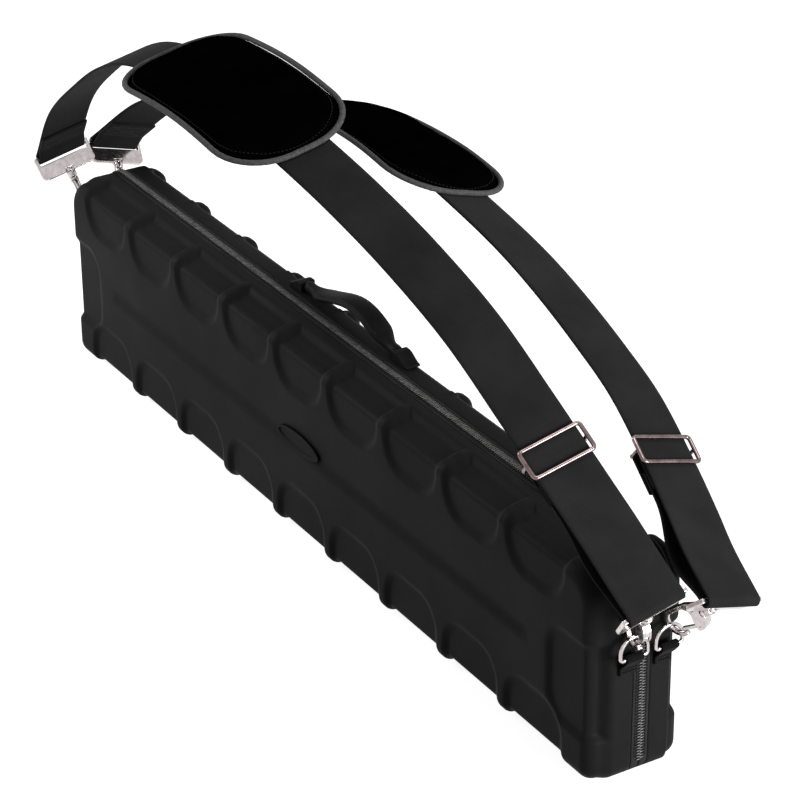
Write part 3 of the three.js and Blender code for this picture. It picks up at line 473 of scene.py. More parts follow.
def makeFloor():
    half = studio["floorSize"] / 2 * 1000
    corners = [(-half, -half, 0), (half, -half, 0), (half, half, 0), (-half, half, 0)]
    floor = makePiece("floor", (corners, [(0, 1, 2, 3)], None))
    material = bpy.data.materials.new("paleFloor")
    material.use_nodes = True
    tree = material.node_tree
    tree.nodes.clear()
    matt = addNode(tree, "BsdfDiffuse", {"Color": (*[studio["floorShade"]] * 3, 1)})
    glow = addNode(tree, "Emission", {"Strength": paleLight(tree, studio["floorGlow"])})
    both = addNode(tree, "AddShader", {0: matt.outputs[0], 1: glow.outputs[0]})
    addNode(tree, "OutputMaterial", {"Surface": both.outputs[0]})
    floor.data.materials.append(material)


def makeWorld():
    world = bpy.data.worlds.new("paleRoom")
    bpy.context.scene.world = world
    world.use_nodes = True
    tree = world.node_tree
    back = tree.nodes["Background"]
    back.inputs["Color"].default_value = (1, 1, 1, 1)
    extra = paleLight(tree, 1 - studio["ambient"])
    tree.links.new(plus(tree, extra, studio["ambient"]), back.inputs["Strength"])


def makeLamps():
    for name, (place, target, size, power) in studio["lamps"].items():
        lamp = bpy.data.lights.new(name, "AREA")
        lamp.shape = "DISK"
        lamp.size = size
        lamp.energy = power
        holder = linked(bpy.data.objects.new(name, lamp))
        holder.location = place
        aim = Vector(target) - Vector(place)
        holder.rotation_euler = aim.to_track_quat("-Z", "Y").to_euler()


def makeCamera():
    lens = bpy.data.cameras.new("photoCamera")
    lens.lens = studio["lens"]
    lens.sensor_width = studio["sensor"]
    lens.clip_end = studio["farthest"]
    camera = linked(bpy.data.objects.new("photoCamera", lens))
    turn = Matrix.Identity(4)
    for angle, axis in zip(studio["cameraTurn"], "ZXZ"):
        turn = turn @ Matrix.Rotation(math.radians(angle), 4, axis)
    camera.matrix_world = Matrix.Translation(studio["cameraPlace"]) @ turn
    bpy.context.scene.camera = camera


bpy.context.scene.view_settings.view_transform = "Standard"
makeFloor()
makeWorld()
makeLamps()
makeCamera()
print("cue case: studio ready")


# the two moulded halves

shell = {
    "halfLength": 434, "height": 186, "corner": 32, "lowCorner": 16, "draft": 3, "flatRim": 25,
    "edgeRound": 12, "frontDepth": 45, "backDepth": 40, "frontPocketStart": 20,
    "backPocketStart": 26, "tapeWidth": 7.5, "tapeSeat": 1.4, "pockets": 9, "pitch": 89, "rib": 14,
    "depthEdge": 5.5, "depthFace": 3, "topReach": 42, "bottomReach": 50, "mouthRound": 26,
    "endReach": 58, "endLow": 42, "endHigh": 122, "endStart": 30, "endRound": 22, "wallWidth": 8.5,
    "cavityInset": 12.5, "cavityRound": 6, "wall": 4, "rimGap": 0.3,
    "overWall": [-5.6, -4.2, -2.8, -1.4, 0, 1.4, 2.8, 4.2, 5.6],   # mesh lines at a pocket's wall
    "overFace": [17, 19, 21.5, 24, 26.5, 29, 31.5, 34, 36, 37.5, 39, 40, 41, 42, 43, 44, 45.5, 47,
                 48, 49, 50, 51, 52, 53.5, 55, 56, 57, 58, 59, 60.5, 63, 68, 75, 84, 93],
}


def insideBox(px, pz, halfX, halfZ, radius):
    # distance inside a rounded box, positive within
    qx, qz = np.abs(px) - halfX + radius, np.abs(pz) - halfZ + radius
    outside = np.hypot(np.maximum(qx, 0), np.maximum(qz, 0))
    return radius - outside - np.minimum(np.maximum(qx, qz), 0)


def pocketShare(x, z, y, pocketStart):
    # how far each point lies in a pocket, from 0 to 1
    s = shell
    half, most = (s["pitch"] - s["rib"]) / 2, s["pockets"] // 2
    local = x - np.clip(np.round(x / s["pitch"]), -most, most) * s["pitch"]
    top = insideBox(local, z - s["height"], half, s["topReach"], s["mouthRound"])
    low = insideBox(local, z, half, s["bottomReach"], s["mouthRound"])
    end = insideBox(np.abs(x) - s["halfLength"], z - (s["endLow"] + s["endHigh"]) / 2,
                    s["endReach"], (s["endHigh"] - s["endLow"]) / 2, s["endRound"])
    inside = np.maximum(np.minimum(np.maximum(top, low), y - pocketStart),
                        np.minimum(end, y - s["endStart"]))
    return ease(np.clip(inside / s["wallWidth"] + 0.5, 0, 1))


def outlineColumns():
    # the mesh's columns: along X or up Z on one side, or round a corner by an angle
    s = shell
    half, straight = (s["pitch"] - s["rib"]) / 2, s["halfLength"] - s["corner"]
    xs, edge = {-straight, straight}, s["overWall"][-1]
    for i in range(s["pockets"]):
        middle = (i - s["pockets"] // 2) * s["pitch"]
        xs.update(round(middle + wall + d, 3) for wall in (-half, half) for d in s["overWall"])
        xs.update(round(middle + v, 3) for v in np.linspace(edge - half, half - edge, 20))
        xs.add(middle + half + s["rib"] / 2)
    xs = sorted(x for x in xs if abs(x) <= straight)
    lowEnd = s["halfLength"] - s["lowCorner"]
    lowXs = [-lowEnd, (-lowEnd - straight) / 2, *xs, (lowEnd + straight) / 2, lowEnd]
    zs = {round(v, 3) for v in np.linspace(s["lowCorner"], s["height"] - s["corner"], 46)}
    zs = sorted(zs | {wall + d for wall in (s["endLow"], s["endHigh"]) for d in s["overWall"]})
    rising = list(np.linspace(0, 90, 12)[1:-1])
    columns = []
    for kind, side, values in (("z", 1, zs), ("corner", (1, 1), rising), ("x", 1, xs[::-1]),
                               ("corner", (-1, 1), rising[::-1]), ("z", -1, zs[::-1]),
                               ("corner", (-1, -1), rising), ("x", -1, lowXs),
                               ("corner", (1, -1), rising[::-1])):
        columns += [(kind, side, value) for value in values]
    return columns


def onOutline(columns, inset):
    # one inset for each column, so that a pocket can draw the outline in where it lies
    s = shell
    points = np.zeros((len(columns), 2))
    for i, ((kind, side, value), d) in enumerate(zip(columns, inset)):
        top, bottom = max(s["corner"] - d, 0), max(s["lowCorner"] - d, 0)
        farX, low, high = s["halfLength"] - d, d, s["height"] - d
        if kind == "x":
            limit = farX - (top if side > 0 else bottom)
            points[i] = limited(value, -limit, limit), high if side > 0 else low
        elif kind == "z":
            points[i] = side * farX, min(max(value, low + bottom), high - top)
        else:
            angle, radius = math.radians(value), top if side[1] > 0 else bottom
            rise = radius - radius * math.sin(angle)
            points[i] = (side[0] * (farX - radius + radius * math.cos(angle)),
                         high - rise if side[1] > 0 else low + rise)
    return points


def shellProfile(depth, pocketStart):
    # rows of (distance from the zip, inset, lean of the surface from side wall to face)
    s = shell
    start, tape, seat = depth - s["edgeRound"], s["tapeWidth"], s["tapeSeat"]
    rows = [(0.3, seat, 0), (tape - 0.3, seat, 0), (tape, seat - 0.3, 0), (tape + 0.1, 0.5, 0),
            (tape + 0.6, 0, 0), (10, 0, 0), (13, 0, 0)]
    levels = {start}
    for edge, reach, count in ((pocketStart, 4, 9), (s["endStart"], 3, 4)):
        steps = np.linspace(edge - reach, min(edge + reach, start), count)
        levels |= {round(v, 2) for v in steps}
    for y in sorted(v for v in levels if v <= start):
        rows.append((y, s["draft"] * max(0, y - s["flatRim"]) / (start - s["flatRim"]), 0))
    for angle in np.linspace(0, math.pi / 2, 14)[1:]:
        rows.append((start + s["edgeRound"] * math.sin(angle),
                     s["draft"] + s["edgeRound"] * (1 - math.cos(angle)), angle))
    return rows + [(depth, inset, math.pi / 2) for inset in s["overFace"]]


def mouldedHalf(side, depth, pocketStart):
    s, columns, grid = shell, outlineColumns(), []
    count = len(columns)
    for y, inset, lean in shellProfile(depth, pocketStart):
        outline = onOutline(columns, np.full(count, inset))
        share = pocketShare(outline[:, 0], outline[:, 1], np.full(count, y), pocketStart)
        share = share * (y > s["tapeWidth"] + 1)   # no pocket in the tape's seat
        if lean < math.pi / 2:
            outline = onOutline(columns, inset + s["depthEdge"] * math.cos(lean) * share)
        sunk = y - s["depthFace"] * math.sin(lean) * share
        grid.append(np.column_stack([outline[:, 0], side * sunk, outline[:, 1]]))
    floorY, inset, bend = depth - s["depthFace"] - s["wall"], s["cavityInset"], s["cavityRound"]
    for y, inset in ((floorY, s["height"] / 2), (floorY, inset + bend), (floorY - bend, inset),
                     (s["rimGap"], inset)):
        outline = onOutline(columns, np.full(count, inset))
        grid.append(np.column_stack([outline[:, 0], np.full(count, side * y), outline[:, 1]]))
    return loft(grid, hollow=True)


for half, side in (("front", -1), ("back", 1)):
    shape = mouldedHalf(side, shell[f"{half}Depth"], shell[f"{half}PocketStart"])
    dress(f"{half}Half", shape, shellSkin, f"{half}_half", "shell", f"{half}_shell", weld=0.02)
print("cue case: moulded halves ready")


# zip: tapes, interleaved teeth, hinge strip, sliders and pulls

zipParts = {
    "near": 0.55, "width": 7.2, "thickness": 1.1, "tapeEnd": 400, "tapeStep": 3.0,
    "toothPitch": 2.5, "toothReach": 3.3, "toothCross": 0.95, "toothSeat": 0.3,
    "tooth": [(-0.6, 0.1), (-0.6, 0.7), (-0.38, 1.2), (0, 1.35), (0.38, 1.2), (0.6, 0.7),
              (0.6, 0.1)],
    # the tape's stitches are dark and wide: real stitching, and also painted shade for the gap
    # between the teeth and the tape
    "stitchPitch": 3.4, "stitchLine": 4.6, "stitchWidth": 1.2,
    "hingeWidth": 6.8, "hingeThickness": 0.75, "hingeMiddle": 3.75, "hingeHeight": 0.7,
    "sliderPlaces": {"far": 307.0, "near": 329.0}, "sliderBase": 188.0, "sliderPlate": 1.4,
    "sliderHalf": 7.5, "sliderReach": 6.2, "guideFrom": 3.6, "guideHalf": 1.1,
    "bridge": [(-4, -0.6), (4, -0.6), (4, 4), (-4, 4)], "bridgeHalf": 2.5,
    "bridgeHole": [(-2.2, 0.05), (-2.2, 2.6), (2.2, 2.6), (2.2, 0.05)],
    "pivotHeight": 190.7, "pullLength": 30, "pullHalf": 4.0, "pullThick": 0.68,
    "pullSlot": [(0.7, -2.85), (0.7, 2.85), (5.4, 2.85), (5.4, -2.85)],
}
upright = axes((0, 0, 0), (1, 0, 0), (0, 0, 1), (0, -1, 0))   # stands a plate on its long edge


def rimPath(step, whole=False):
    # round the case over its top, or the whole way to the hinge: place and outward way in XZ
    s, spots = shell, []
    far, high, low, top = s["halfLength"], s["height"] - s["corner"], s["lowCorner"], s["height"]
    straight, lowEnd, tapeEnd = far - s["corner"], far - low, zipParts["tapeEnd"]

    def leg(start, end, outward):
        spots.extend((*spot, *outward) for spot in split(start, end, step))

    def bend(x, z, radius, start):
        count = max(2, round(radius * math.pi / 2 / step))
        for angle in np.radians(start + 90 * np.arange(count) / count):
            out = math.cos(angle), math.sin(angle)
            spots.append((x + radius * out[0], z + radius * out[1], *out))

    if whole:
        leg((tapeEnd, 0), (lowEnd, 0), (0, -1))
        bend(lowEnd, low, low, -90)
    leg((far, low), (far, high), (1, 0))
    bend(straight, high, s["corner"], 0)
    leg((straight, top), (-straight, top), (0, 1))
    bend(-straight, high, s["corner"], 90)
    leg((-far, high), (-far, low), (-1, 0))
    if whole:
        bend(-lowEnd, low, low, 180)
        leg((-lowEnd, 0), (-tapeEnd, 0), (0, -1))
        spots.append((-tapeEnd, 0, 0, -1))
    return np.array(spots)


def zipTape(side):
    z = zipParts
    path, near, far, thick = rimPath(z["tapeStep"], True), z["near"], z["width"], z["thickness"]
    section = [(near, -thick), (near, -0.25), (near + 0.2, -0.03), (3.6, 0), (5.2, 0),
               (far - 0.4, 0), (far, -0.25), (far, -thick)]
    rings = [[(x + nx * up, side * y, h + nz * up) for y, up in section] for x, h, nx, nz in path]
    cloth = [(y + up, at) for at in runOf(path[:, :2]) for y, up in section]
    return loft(rings, np.array(cloth))


def zipTeeth(side):
    z = zipParts
    path, reach, tooth = rimPath(z["toothPitch"]), z["toothReach"], z["tooth"]
    if side > 0:
        path = (path[:-1] + path[1:]) / 2   # the back row's teeth stand between the front row's
    rows = [(reach, 0.6), (reach - 0.4, 0.95), (-0.35, 1.0), (-z["toothCross"], 0.55)]
    rows = [(y, [(t * size, z["toothSeat"] + up * (size if up > 0.2 else 1)) for t, up in tooth])
            for y, size in rows]
    return together(*[loft([[(x + nz * t + nx * lift, side * y, h - nx * t + nz * lift)
                             for t, lift in ring] for y, ring in rows]) for x, h, nx, nz in path])


def tapeStitchesAndShade(side):
    # dark stitch line along each tape: real stitching that also paints the shadow in the gap beside
    # the teeth
    z = zipParts
    spots = []
    for x, h, nx, nz in rimPath(z["stitchPitch"])[1:-1]:
        spot = x + nx * 0.05, side * z["stitchLine"], h + nz * 0.05
        spots.append((spot, (-nz, 0, nx), (nx, 0, nz)))
    return threads(spots, z["stitchPitch"] * 0.8, z["stitchWidth"])


def hingeStrip(side):
    z = zipParts
    end = z["tapeEnd"] - 0.6
    line = [(x, z["hingeHeight"]) for x in np.linspace(-end, end, 80)]
    points, faces, cloth = ribbon(line, z["hingeWidth"], z["hingeThickness"])
    return points + np.array([0, side * z["hingeMiddle"], 0]), faces, cloth


def zipSlider():
    z = zipParts
    base, thick, reach = z["sliderBase"], z["sliderPlate"] / 2, z["sliderReach"]
    middle, half = (z["guideFrom"] + reach) / 2, (reach - z["guideFrom"]) / 2
    top = plate(roundBox(z["sliderHalf"], reach, 2.6), [], thick, 0.4)
    guide = plate(roundBox(z["sliderHalf"] - 0.3, half, 0.8), [], z["guideHalf"], 0.3)
    hole = rounded(z["bridgeHole"], 0.8)
    bridge = plate(rounded(z["bridge"], 1.7), [hole], z["bridgeHalf"], 0.4)
    return together(moved(top, shift(0, 0, base + thick)),
                    moved(guide, shift(0, middle, base - 0.5)),
                    moved(bridge, shift(0, 0, base + 2 * thick) @ upright))


def zipPull():
    z = zipParts
    length, half = z["pullLength"], z["pullHalf"]
    side = [(-0.7, -half * 0.9), (4, -half), (length - 2, -half), (length, -half / 2)]
    outline = rounded(side + [(x, -y) for x, y in reversed(side)], 1.4)
    return plate(outline, [rounded(z["pullSlot"], 0.8)], z["pullThick"], 0.3)


for half, side in (("front", -1), ("back", 1)):
    body = f"{half}_half"
    dress(f"{half}ZipTape", zipTape(side), zipCloth, body, "tape", f"{half}_zip_tape")
    dress(f"{half}ZipTeeth", zipTeeth(side), zipSteel, body, "teeth", f"{half}_zip_teeth")
    # the dark tape stitches also paint the shade in the gap beside the teeth
    dress(f"{half}TapeStitchesAndShade", tapeStitchesAndShade(side), darkThreadAndShade, body, "tape")
    dress(f"{half}HingeStrip", hingeStrip(side), zipCloth, body, "tape", f"{half}_hinge_tape")
for end, x in zipParts["sliderPlaces"].items():
    turn = Matrix.Rotation(math.pi * (end == "far"), 4, "Z")
    dress(f"{end}Slider", zipSlider(), zipSteel, f"slider_{end}", "teeth", f"zip_slider_{end}",
          place=shift(x, 0, 0), crisp=True)
    dress(f"{end}Pull", zipPull(), zipSteel, f"pull_{end}", "teeth", f"zip_pull_{end}",
          place=shift(x, 0, zipParts["pivotHeight"]) @ turn, crisp=True)
print("cue case: zip ready")


# badge and carrying handle

badge = {
    "halfLength": 34, "halfHeight": 9, "middle": (3, 100), "back": -45.3, "thickness": 2.2,
    "rim": 2.4, "sides": 96,
}


def ovalBadge():
    b = badge
    thick, rim = b["thickness"], b["rim"]
    rows = [(0, 0), (0, 1.4), (0.35, 1.95), (0.9, thick), (1.6, thick - 0.05), (rim - 0.1, 1.7),
            (rim + 0.3, 1.15), (rim + 1.2, 1.1), (5, 1.12), (7, 1.2), (8.9, 1.25)]
    return loft([[((b["halfLength"] - inset) * math.cos(a) + b["middle"][0], b["back"] - height,
                   (b["halfHeight"] - inset) * math.sin(a) + b["middle"][1])
                  for a in circle(b["sides"])] for inset, height in rows])


dress("ovalBadge", ovalBadge(), badgeSkin, "front_half", "badge", "oval_badge")

handle = {
    "centre": -16, "span": 150, "y": 19, "rise": 16, "width": 22, "thickness": 9,
    "pinHeight": 191.25, "pin": 2.6, "pinReach": 9, "eye": 4.95, "skew": 1.3, "arch": 1.3,
    "gap": 0.35, "fullness": 0.93, "widenFrom": 0.22, "widenOver": 0.4, "closing": 0.14,
    "steps": 72, "sides": 36, "seamAngle": 38, "seamRows": (12, 61), "stitch": (1.5, 0.7),
    "anchorLength": 22, "anchorHeight": 9, "anchorWidth": 14, "anchorStrip": 2.2,
    "anchorShoulder": 5, "seat": 0.3,
}


def gripRow(t):
    # place, middle height, half width and half thickness of the grip, t from end to end
    h = handle
    run, deep = h["span"] - 2 * h["gap"], h["pinReach"] + 2 * h["gap"]
    along = limited((t * run - deep) / (run - 2 * deep))   # the grip is straight over its pins
    rise = h["rise"] * max(0.0, math.sin(math.pi * along ** h["skew"])) ** h["arch"]
    full = ease(limited((math.sin(math.pi * t) - h["widenFrom"]) / h["widenOver"]))
    half = h["eye"] + (h["width"] / 2 - h["eye"]) * full
    thick = h["eye"] + (h["thickness"] / 2 - h["eye"]) * full
    return h["centre"] + run * (t - 0.5), h["pinHeight"] + rise, half, thick


def handleGrip():
    # arched padded grip with a bore at each end for its pins
    h = handle
    bore, deep, angles = h["pin"] + h["gap"], h["pinReach"] + 2 * h["gap"], circle(h["sides"])

    def mouth(t, side):
        ends = [(deep, bore), (0.6, bore), (0, bore + 0.4)]
        end, middle = gripRow(t)[0], h["pinHeight"]
        return [[(end + side * back, h["y"] + r * math.cos(a), middle + r * math.sin(a))
                 for a in angles] for back, r in ends[::side]]

    rings = mouth(0, 1)
    for i in range(h["steps"] + 1):
        x, middle, half, thick = gripRow(i / h["steps"])
        closing = min(1, 1 - h["closing"] * (1 - min(i, h["steps"] - i) / 2))
        across = [math.copysign(abs(math.cos(a)) ** h["fullness"], math.cos(a)) for a in angles]
        rings.append([(x, h["y"] + closing * half * out, middle + closing * thick * math.sin(a))
                      for out, a in zip(across, angles)])
    return loft(rings + mouth(1, -1))


def gripSeams():
    h, spots, angle = handle, [], math.radians(handle["seamAngle"])
    for side in (-1, 1):
        for i in range(*h["seamRows"]):
            x, middle, half, thick = gripRow(i / h["steps"])
            ahead = gripRow(i / h["steps"] + 0.01)
            across = side * half * math.cos(angle) ** h["fullness"]
            spots.append(((x, h["y"] + across, middle + thick * math.sin(angle)),
                          (ahead[0] - x, 0, ahead[1] - middle), (0, side * 0.5, 1)))
    return threads(spots, *h["stitch"])


def handleAnchor(side):
    h = handle
    inner = h["centre"] + side * h["span"] / 2
    outer, shoulder = inner + side * h["anchorLength"], inner + side * h["anchorShoulder"]
    bottom = shell["height"] + h["seat"]
    top, strip = bottom + h["anchorHeight"], bottom + h["anchorStrip"]
    profile = [(inner, bottom), (outer, bottom), (outer, strip)]
    for t in np.linspace(0.12, 0.92, 9):   # smooth slope from the sewn strip to the pin's block
        profile.append((outer + (shoulder - outer) * t, strip + (top - strip) * ease(t)))
    profile += [(shoulder, top), (inner, top)]
    block = plate(rounded(profile, 1.2), [], h["anchorWidth"] / 2, 1.0)
    pin = rod((inner + side, h["y"], h["pinHeight"]),
              (inner - side * h["pinReach"], h["y"], h["pinHeight"]), h["pin"])
    return together(moved(block, shift(0, h["y"], 0) @ upright), pin)


dress("handleGrip", handleGrip(), gripSkin, "handle", "handle", "handle_grip")
dress("gripSeams", gripSeams(), strapThread, "handle", "handle")
for side, end in ((-1, "far"), (1, "near")):
    dress(f"{end}Anchor", handleAnchor(side), gripSkin, "back_half", "handle",
          f"handle_anchor_{end}", crisp=True)
print("cue case: badge and handle ready")


# D-rings and their webbing tabs on the case's ends

ring = {
    "x": 443.5, "height": 121, "frontY": -14.5, "backY": 17, "bow": 12, "wire": 3.2, "leg": 6,
    "corner": 2.4, "standOff": 9.5, "tabWidth": 15, "tabThickness": 1.3, "tabLength": 18,
    "gap": 0.35, "seat": 0.3, "stitchRows": (-16.6, -13.6), "stitchHalf": 5.2,
    "stitch": (1.5, 0.6),
}


def dRing():
    r = ring
    path = [(0, y, z) for y, z in arc(r["bow"], 0, 180, 32)]
    for side in (-1, 1):
        for angle in np.linspace(0, math.pi / 2, 8):
            out, down = (math.cos(angle), math.sin(angle))[::-side]
            path.append((0, side * (r["bow"] + r["corner"] * (out - 1)),
                         r["corner"] * (1 - down) - r["leg"]))
    return tube(path, r["wire"] / 2, (1, 0, 0))


def ringTab():
    # up from its foot on the shell, round the ring's leg and down again behind
    r = ring
    middle = r["wire"] / 2 + r["gap"] + r["tabThickness"] / 2
    foot = r["seat"] - r["standOff"] + r["tabThickness"] / 2
    outer = foot + r["tabThickness"] + 0.02
    line = [(outer, z) for z in np.linspace(-r["tabLength"], -13, 8)]
    line += [(outer + 0.5, -11.6), (outer + 1.4, -10.3), (outer + 5, -6.7)]
    line += arc(middle, -45, 135, 18)
    line += [(-5, -1.4), (foot + 1.1, -4.1), (foot + 0.3, -5.2)]
    line += [(foot, z) for z in np.linspace(-6.6, -r["tabLength"], 10)]
    return ribbon(line, r["tabWidth"], r["tabThickness"], 0.4)


def tabStitches():
    r = ring
    x, half, spots = 0.35 - r["standOff"] + 2 * r["tabThickness"], r["stitchHalf"], []
    for z in r["stitchRows"]:
        spots += [((x, y, z), (0, 1, 0), (1, 0, 0)) for y in np.linspace(-half, half, 6)]
    for y in (-half - 0.6, half + 0.6):
        spots.append(((x, y, sum(r["stitchRows"]) / 2), (0, 0, 1), (1, 0, 0)))
    return threads(spots, *r["stitch"])


for half in ("front", "back"):
    for end, side in (("far", -1), ("near", 1)):
        body, turn = f"{half}_half", Matrix.Rotation(math.pi * (side < 0), 4, "Z")
        place = shift(side * ring["x"], ring[f"{half}Y"], ring["height"]) @ turn
        low = place @ shift(0, 0, -ring["leg"])
        dress(f"{half}Ring_{end}", dRing(), steel, body, "steel", f"{half}_d_ring_{end}",
              place=place)
        dress(f"{half}RingTab_{end}", ringTab(), tabCloth, body, "webbing",
              f"{half}_ring_tab_{end}", place=low)
        dress(f"{half}TabStitches_{end}", tabStitches(), strapThread, body, "webbing", place=low)
print("cue case: D-rings ready")


# shoulder straps: knots are (place along from ring to ring, share of the rise above the rings)

webbing = {
    "width": 48, "thickness": 2.2, "barHalf": 1.9, "hookReach": 67.3, "foldTail": 42,
    "foldClosing": 0.4, "seat": 0.3, "slackGap": 9, "endTail": 32, "endReach": 4, "sidePlay": 0.8,
    "gap": 0.35, "stitchInset": 4, "stitchPitch": 3.0, "stitch": (2.1, 0.7),
    "outerBoxFrom": 9, "innerBoxFrom": 18, "boxTo": 36,
}
glide = {"fromRing": 62, "length": 26, "wire": 3.4, "corner": 3, "post": 2.6, "travel": 8}
straps = {
    "front": {
        "ringY": -14.5, "lean": 12, "rise": 277, "far": 58, "near": 52, "swivel": 12,
        "padCentre": -42,
        "arch": [(-0.927, 0.462), (-0.74, 0.675), (-0.568, 0.841), (-0.422, 0.935),
                 (-0.225, 0.989), (-0.054, 1), (0.165, 0.952), (0.328, 0.903), (0.492, 0.83),
                 (0.656, 0.721), (0.787, 0.575), (0.864, 0.482), (0.94, 0.39), (0.984, 0.337),
                 (1.039, 0.262)],
    },
    "back": {
        "ringY": 17, "lean": -16, "rise": 202, "far": 43, "near": 41, "swivel": -34,
        "padCentre": -44,
        "arch": [(-0.965, 0.5), (-0.868, 0.609), (-0.717, 0.742), (-0.546, 0.86), (-0.329, 0.963),
                 (-0.054, 1), (0.165, 0.955), (0.359, 0.895), (0.498, 0.828), (0.638, 0.741),
                 (0.753, 0.655), (0.877, 0.514), (0.965, 0.4), (1.026, 0.315)],
    },
}
wrap = webbing["barHalf"] * 1.5 + webbing["thickness"] / 2
layerStep = webbing["thickness"] + webbing["seat"]
barDrop = webbing["thickness"] * 1.5 + 2 * webbing["gap"] + glide["wire"] / 2


class Arch:
    # smooth line through a strap's knots, in the strap's own leaning plane

    def __init__(self, knots):
        knots = np.array(knots, float)
        padded = np.vstack([2 * knots[0] - knots[1], knots, 2 * knots[-1] - knots[-2]])
        points = []
        for i in range(len(knots) - 1):
            p0, p1, p2, p3 = padded[i:i + 4]
            d0, d1, d2 = (math.sqrt(math.dist(a, b)) for a, b in ((p0, p1), (p1, p2), (p2, p3)))
            m1 = ((p1 - p0) / d0 - (p2 - p0) / (d0 + d1) + (p2 - p1) / d1) * d1
            m2 = ((p2 - p1) / d1 - (p3 - p1) / (d1 + d2) + (p3 - p2) / d2) * d1
            square, cube = 3 * (p2 - p1) - 2 * m1 - m2, 2 * (p1 - p2) + m1 + m2
            for t in np.linspace(0, 1, 60, endpoint=False):
                points.append(p1 + m1 * t + square * t ** 2 + cube * t ** 3)
        self.points = np.array(points + [knots[-1]])
        self.run = runOf(self.points)
        self.length = self.run[-1]

    def spot(self, distance):
        return np.array([np.interp(distance, self.run, self.points[:, k]) for k in (0, 1)])

    def tangent(self, distance):
        reach = 1.5
        distance = limited(distance, reach, self.length - reach)
        return unit(self.spot(distance + reach) - self.spot(distance - reach))

    def at(self, distance, offset):
        distance = limited(distance, 0, self.length)
        return self.spot(distance) + leftOf(self.tangent(distance)) * offset

    def atX(self, x):
        return float(np.interp(x, self.points[:, 0], self.run))


def endBar(side, angle):
    # middle of the bar that the webbing turns round, for a hook raised by the angle
    turn, reach = math.radians(angle), webbing["hookReach"]
    return side * (ring["x"] + reach * math.cos(turn)), ring["bow"] + reach * math.sin(turn)


def archOf(strap):
    knots = [(along * ring["x"], ring["bow"] + share * strap["rise"])
             for along, share in strap["arch"]]
    return Arch([endBar(-1, strap["far"]), *knots, endBar(1, strap["near"])])


def halfTurn(arch, side):
    distance = 0 if side < 0 else arch.length
    bar, along = arch.spot(distance), arch.tangent(distance)
    return [bar + leftOf(along) * out + along * side * on for out, on in arc(wrap, 0, 180, 17)]


def webbingLine(arch):
    # sewn tail, round the far bar, over the arch, round the near bar and back to the adjuster
    w, line = webbing, []
    for distance in np.linspace(w["foldTail"], 2, 15):
        closing = min(1, distance / (w["foldTail"] * w["foldClosing"]))
        line.append(arch.at(distance, -wrap + (2 * wrap - layerStep) * closing))
    line += halfTurn(arch, -1)[::-1]
    line += [arch.at(distance, wrap) for distance in np.linspace(0, arch.length, 170)[1:-1]]
    line += halfTurn(arch, 1)
    glideAt = arch.atX(ring["x"] - glide["fromRing"])
    returnEnd = glideAt + glide["wire"] + glide["travel"] + w["endReach"]
    straightEnd = glideAt + w["endTail"] + glide["travel"] + 1
    for distance in np.linspace(arch.length, returnEnd, 44)[1:]:
        share = limited((arch.length - distance) / (arch.length - straightEnd))
        sag = w["slackGap"] * math.sin(math.pi * share) ** 2
        line.append(arch.at(distance, -wrap + (2 * wrap - barDrop) * share - sag))
    return line


def boxStitch(arch, start, end, offset, upward):
    # sewn box with a cross on a strap's outer or inner face
    spots, half = [], webbing["width"] / 2 - webbing["stitchInset"]
    a, b, c, d = (start, -half), (start, half), (end, half), (end, -half)
    for (s0, y0), (s1, y1) in ((a, b), (b, c), (c, d), (d, a), (a, c), (d, b)):
        count = max(2, round(math.hypot(s1 - s0, y1 - y0) / webbing["stitchPitch"]))
        for t in (np.arange(count) + 0.5) / count:
            s = s0 + (s1 - s0) * t
            (x, z), along = arch.at(s, offset), arch.tangent(s)
            spots.append(((x, y0 + (y1 - y0) * t, z),
                          (along[0] * (s1 - s0), y1 - y0, along[1] * (s1 - s0)),
                          (-along[1] * upward, 0, along[0] * upward)))
    return threads(spots, *webbing["stitch"])


def glidePlace(arch):
    glideAt = arch.atX(ring["x"] - glide["fromRing"])
    x, z = arch.at(glideAt, wrap)
    start = arch.at(glideAt - glide["length"] / 2, wrap)
    along = unit(arch.at(glideAt + webbing["endTail"], wrap) - start)
    return axes((x, 0, z), (along[0], 0, along[1]), (0, 1, 0), (-along[1], 0, along[0]))


def glideFrame():
    g, wire = glide, glide["wire"] / 2
    x, y = g["length"] / 2 - wire, webbing["width"] / 2 + webbing["sidePlay"] + wire
    z = webbing["thickness"] / 2 + webbing["gap"] + wire
    path = [(px, py, z) for px, py in roundBox(x, y, g["corner"], 8)]
    return tube(path, wire, (0, 0, 1), sides=16)


def glideBar():
    wire, post = glide["wire"] / 2, glide["post"] / 2
    half = webbing["width"] / 2 + webbing["sidePlay"] + wire
    low, top = -barDrop, webbing["thickness"] / 2 + webbing["gap"] - webbing["seat"]
    bar = rod((0, -half - post, low), (0, half + post, low), wire, 0.5)
    block = plate(roundBox(post, post, 0.7, 4), [], (top - low) / 2, 0.3)
    posts = [moved(block, shift(0, side * half, (top + low) / 2)) for side in (-1, 1)]
    return together(bar, *posts)


def glideEnd():
    # webbing sewn round the tri-glide's bar
    w, turn = webbing, glide["wire"] / 2 + webbing["gap"] + webbing["thickness"] / 2
    line = [(x, turn - barDrop) for x in np.linspace(w["endTail"], 1, 9)]
    line += arc(turn, 90, 270, 17, (0, -barDrop))
    line += [(x, -turn - barDrop) for x in np.linspace(1, w["endTail"], 9)]
    return ribbon(line, w["width"], w["thickness"])


# swivel hooks: the strap's loop, the hook below it and its spring gate

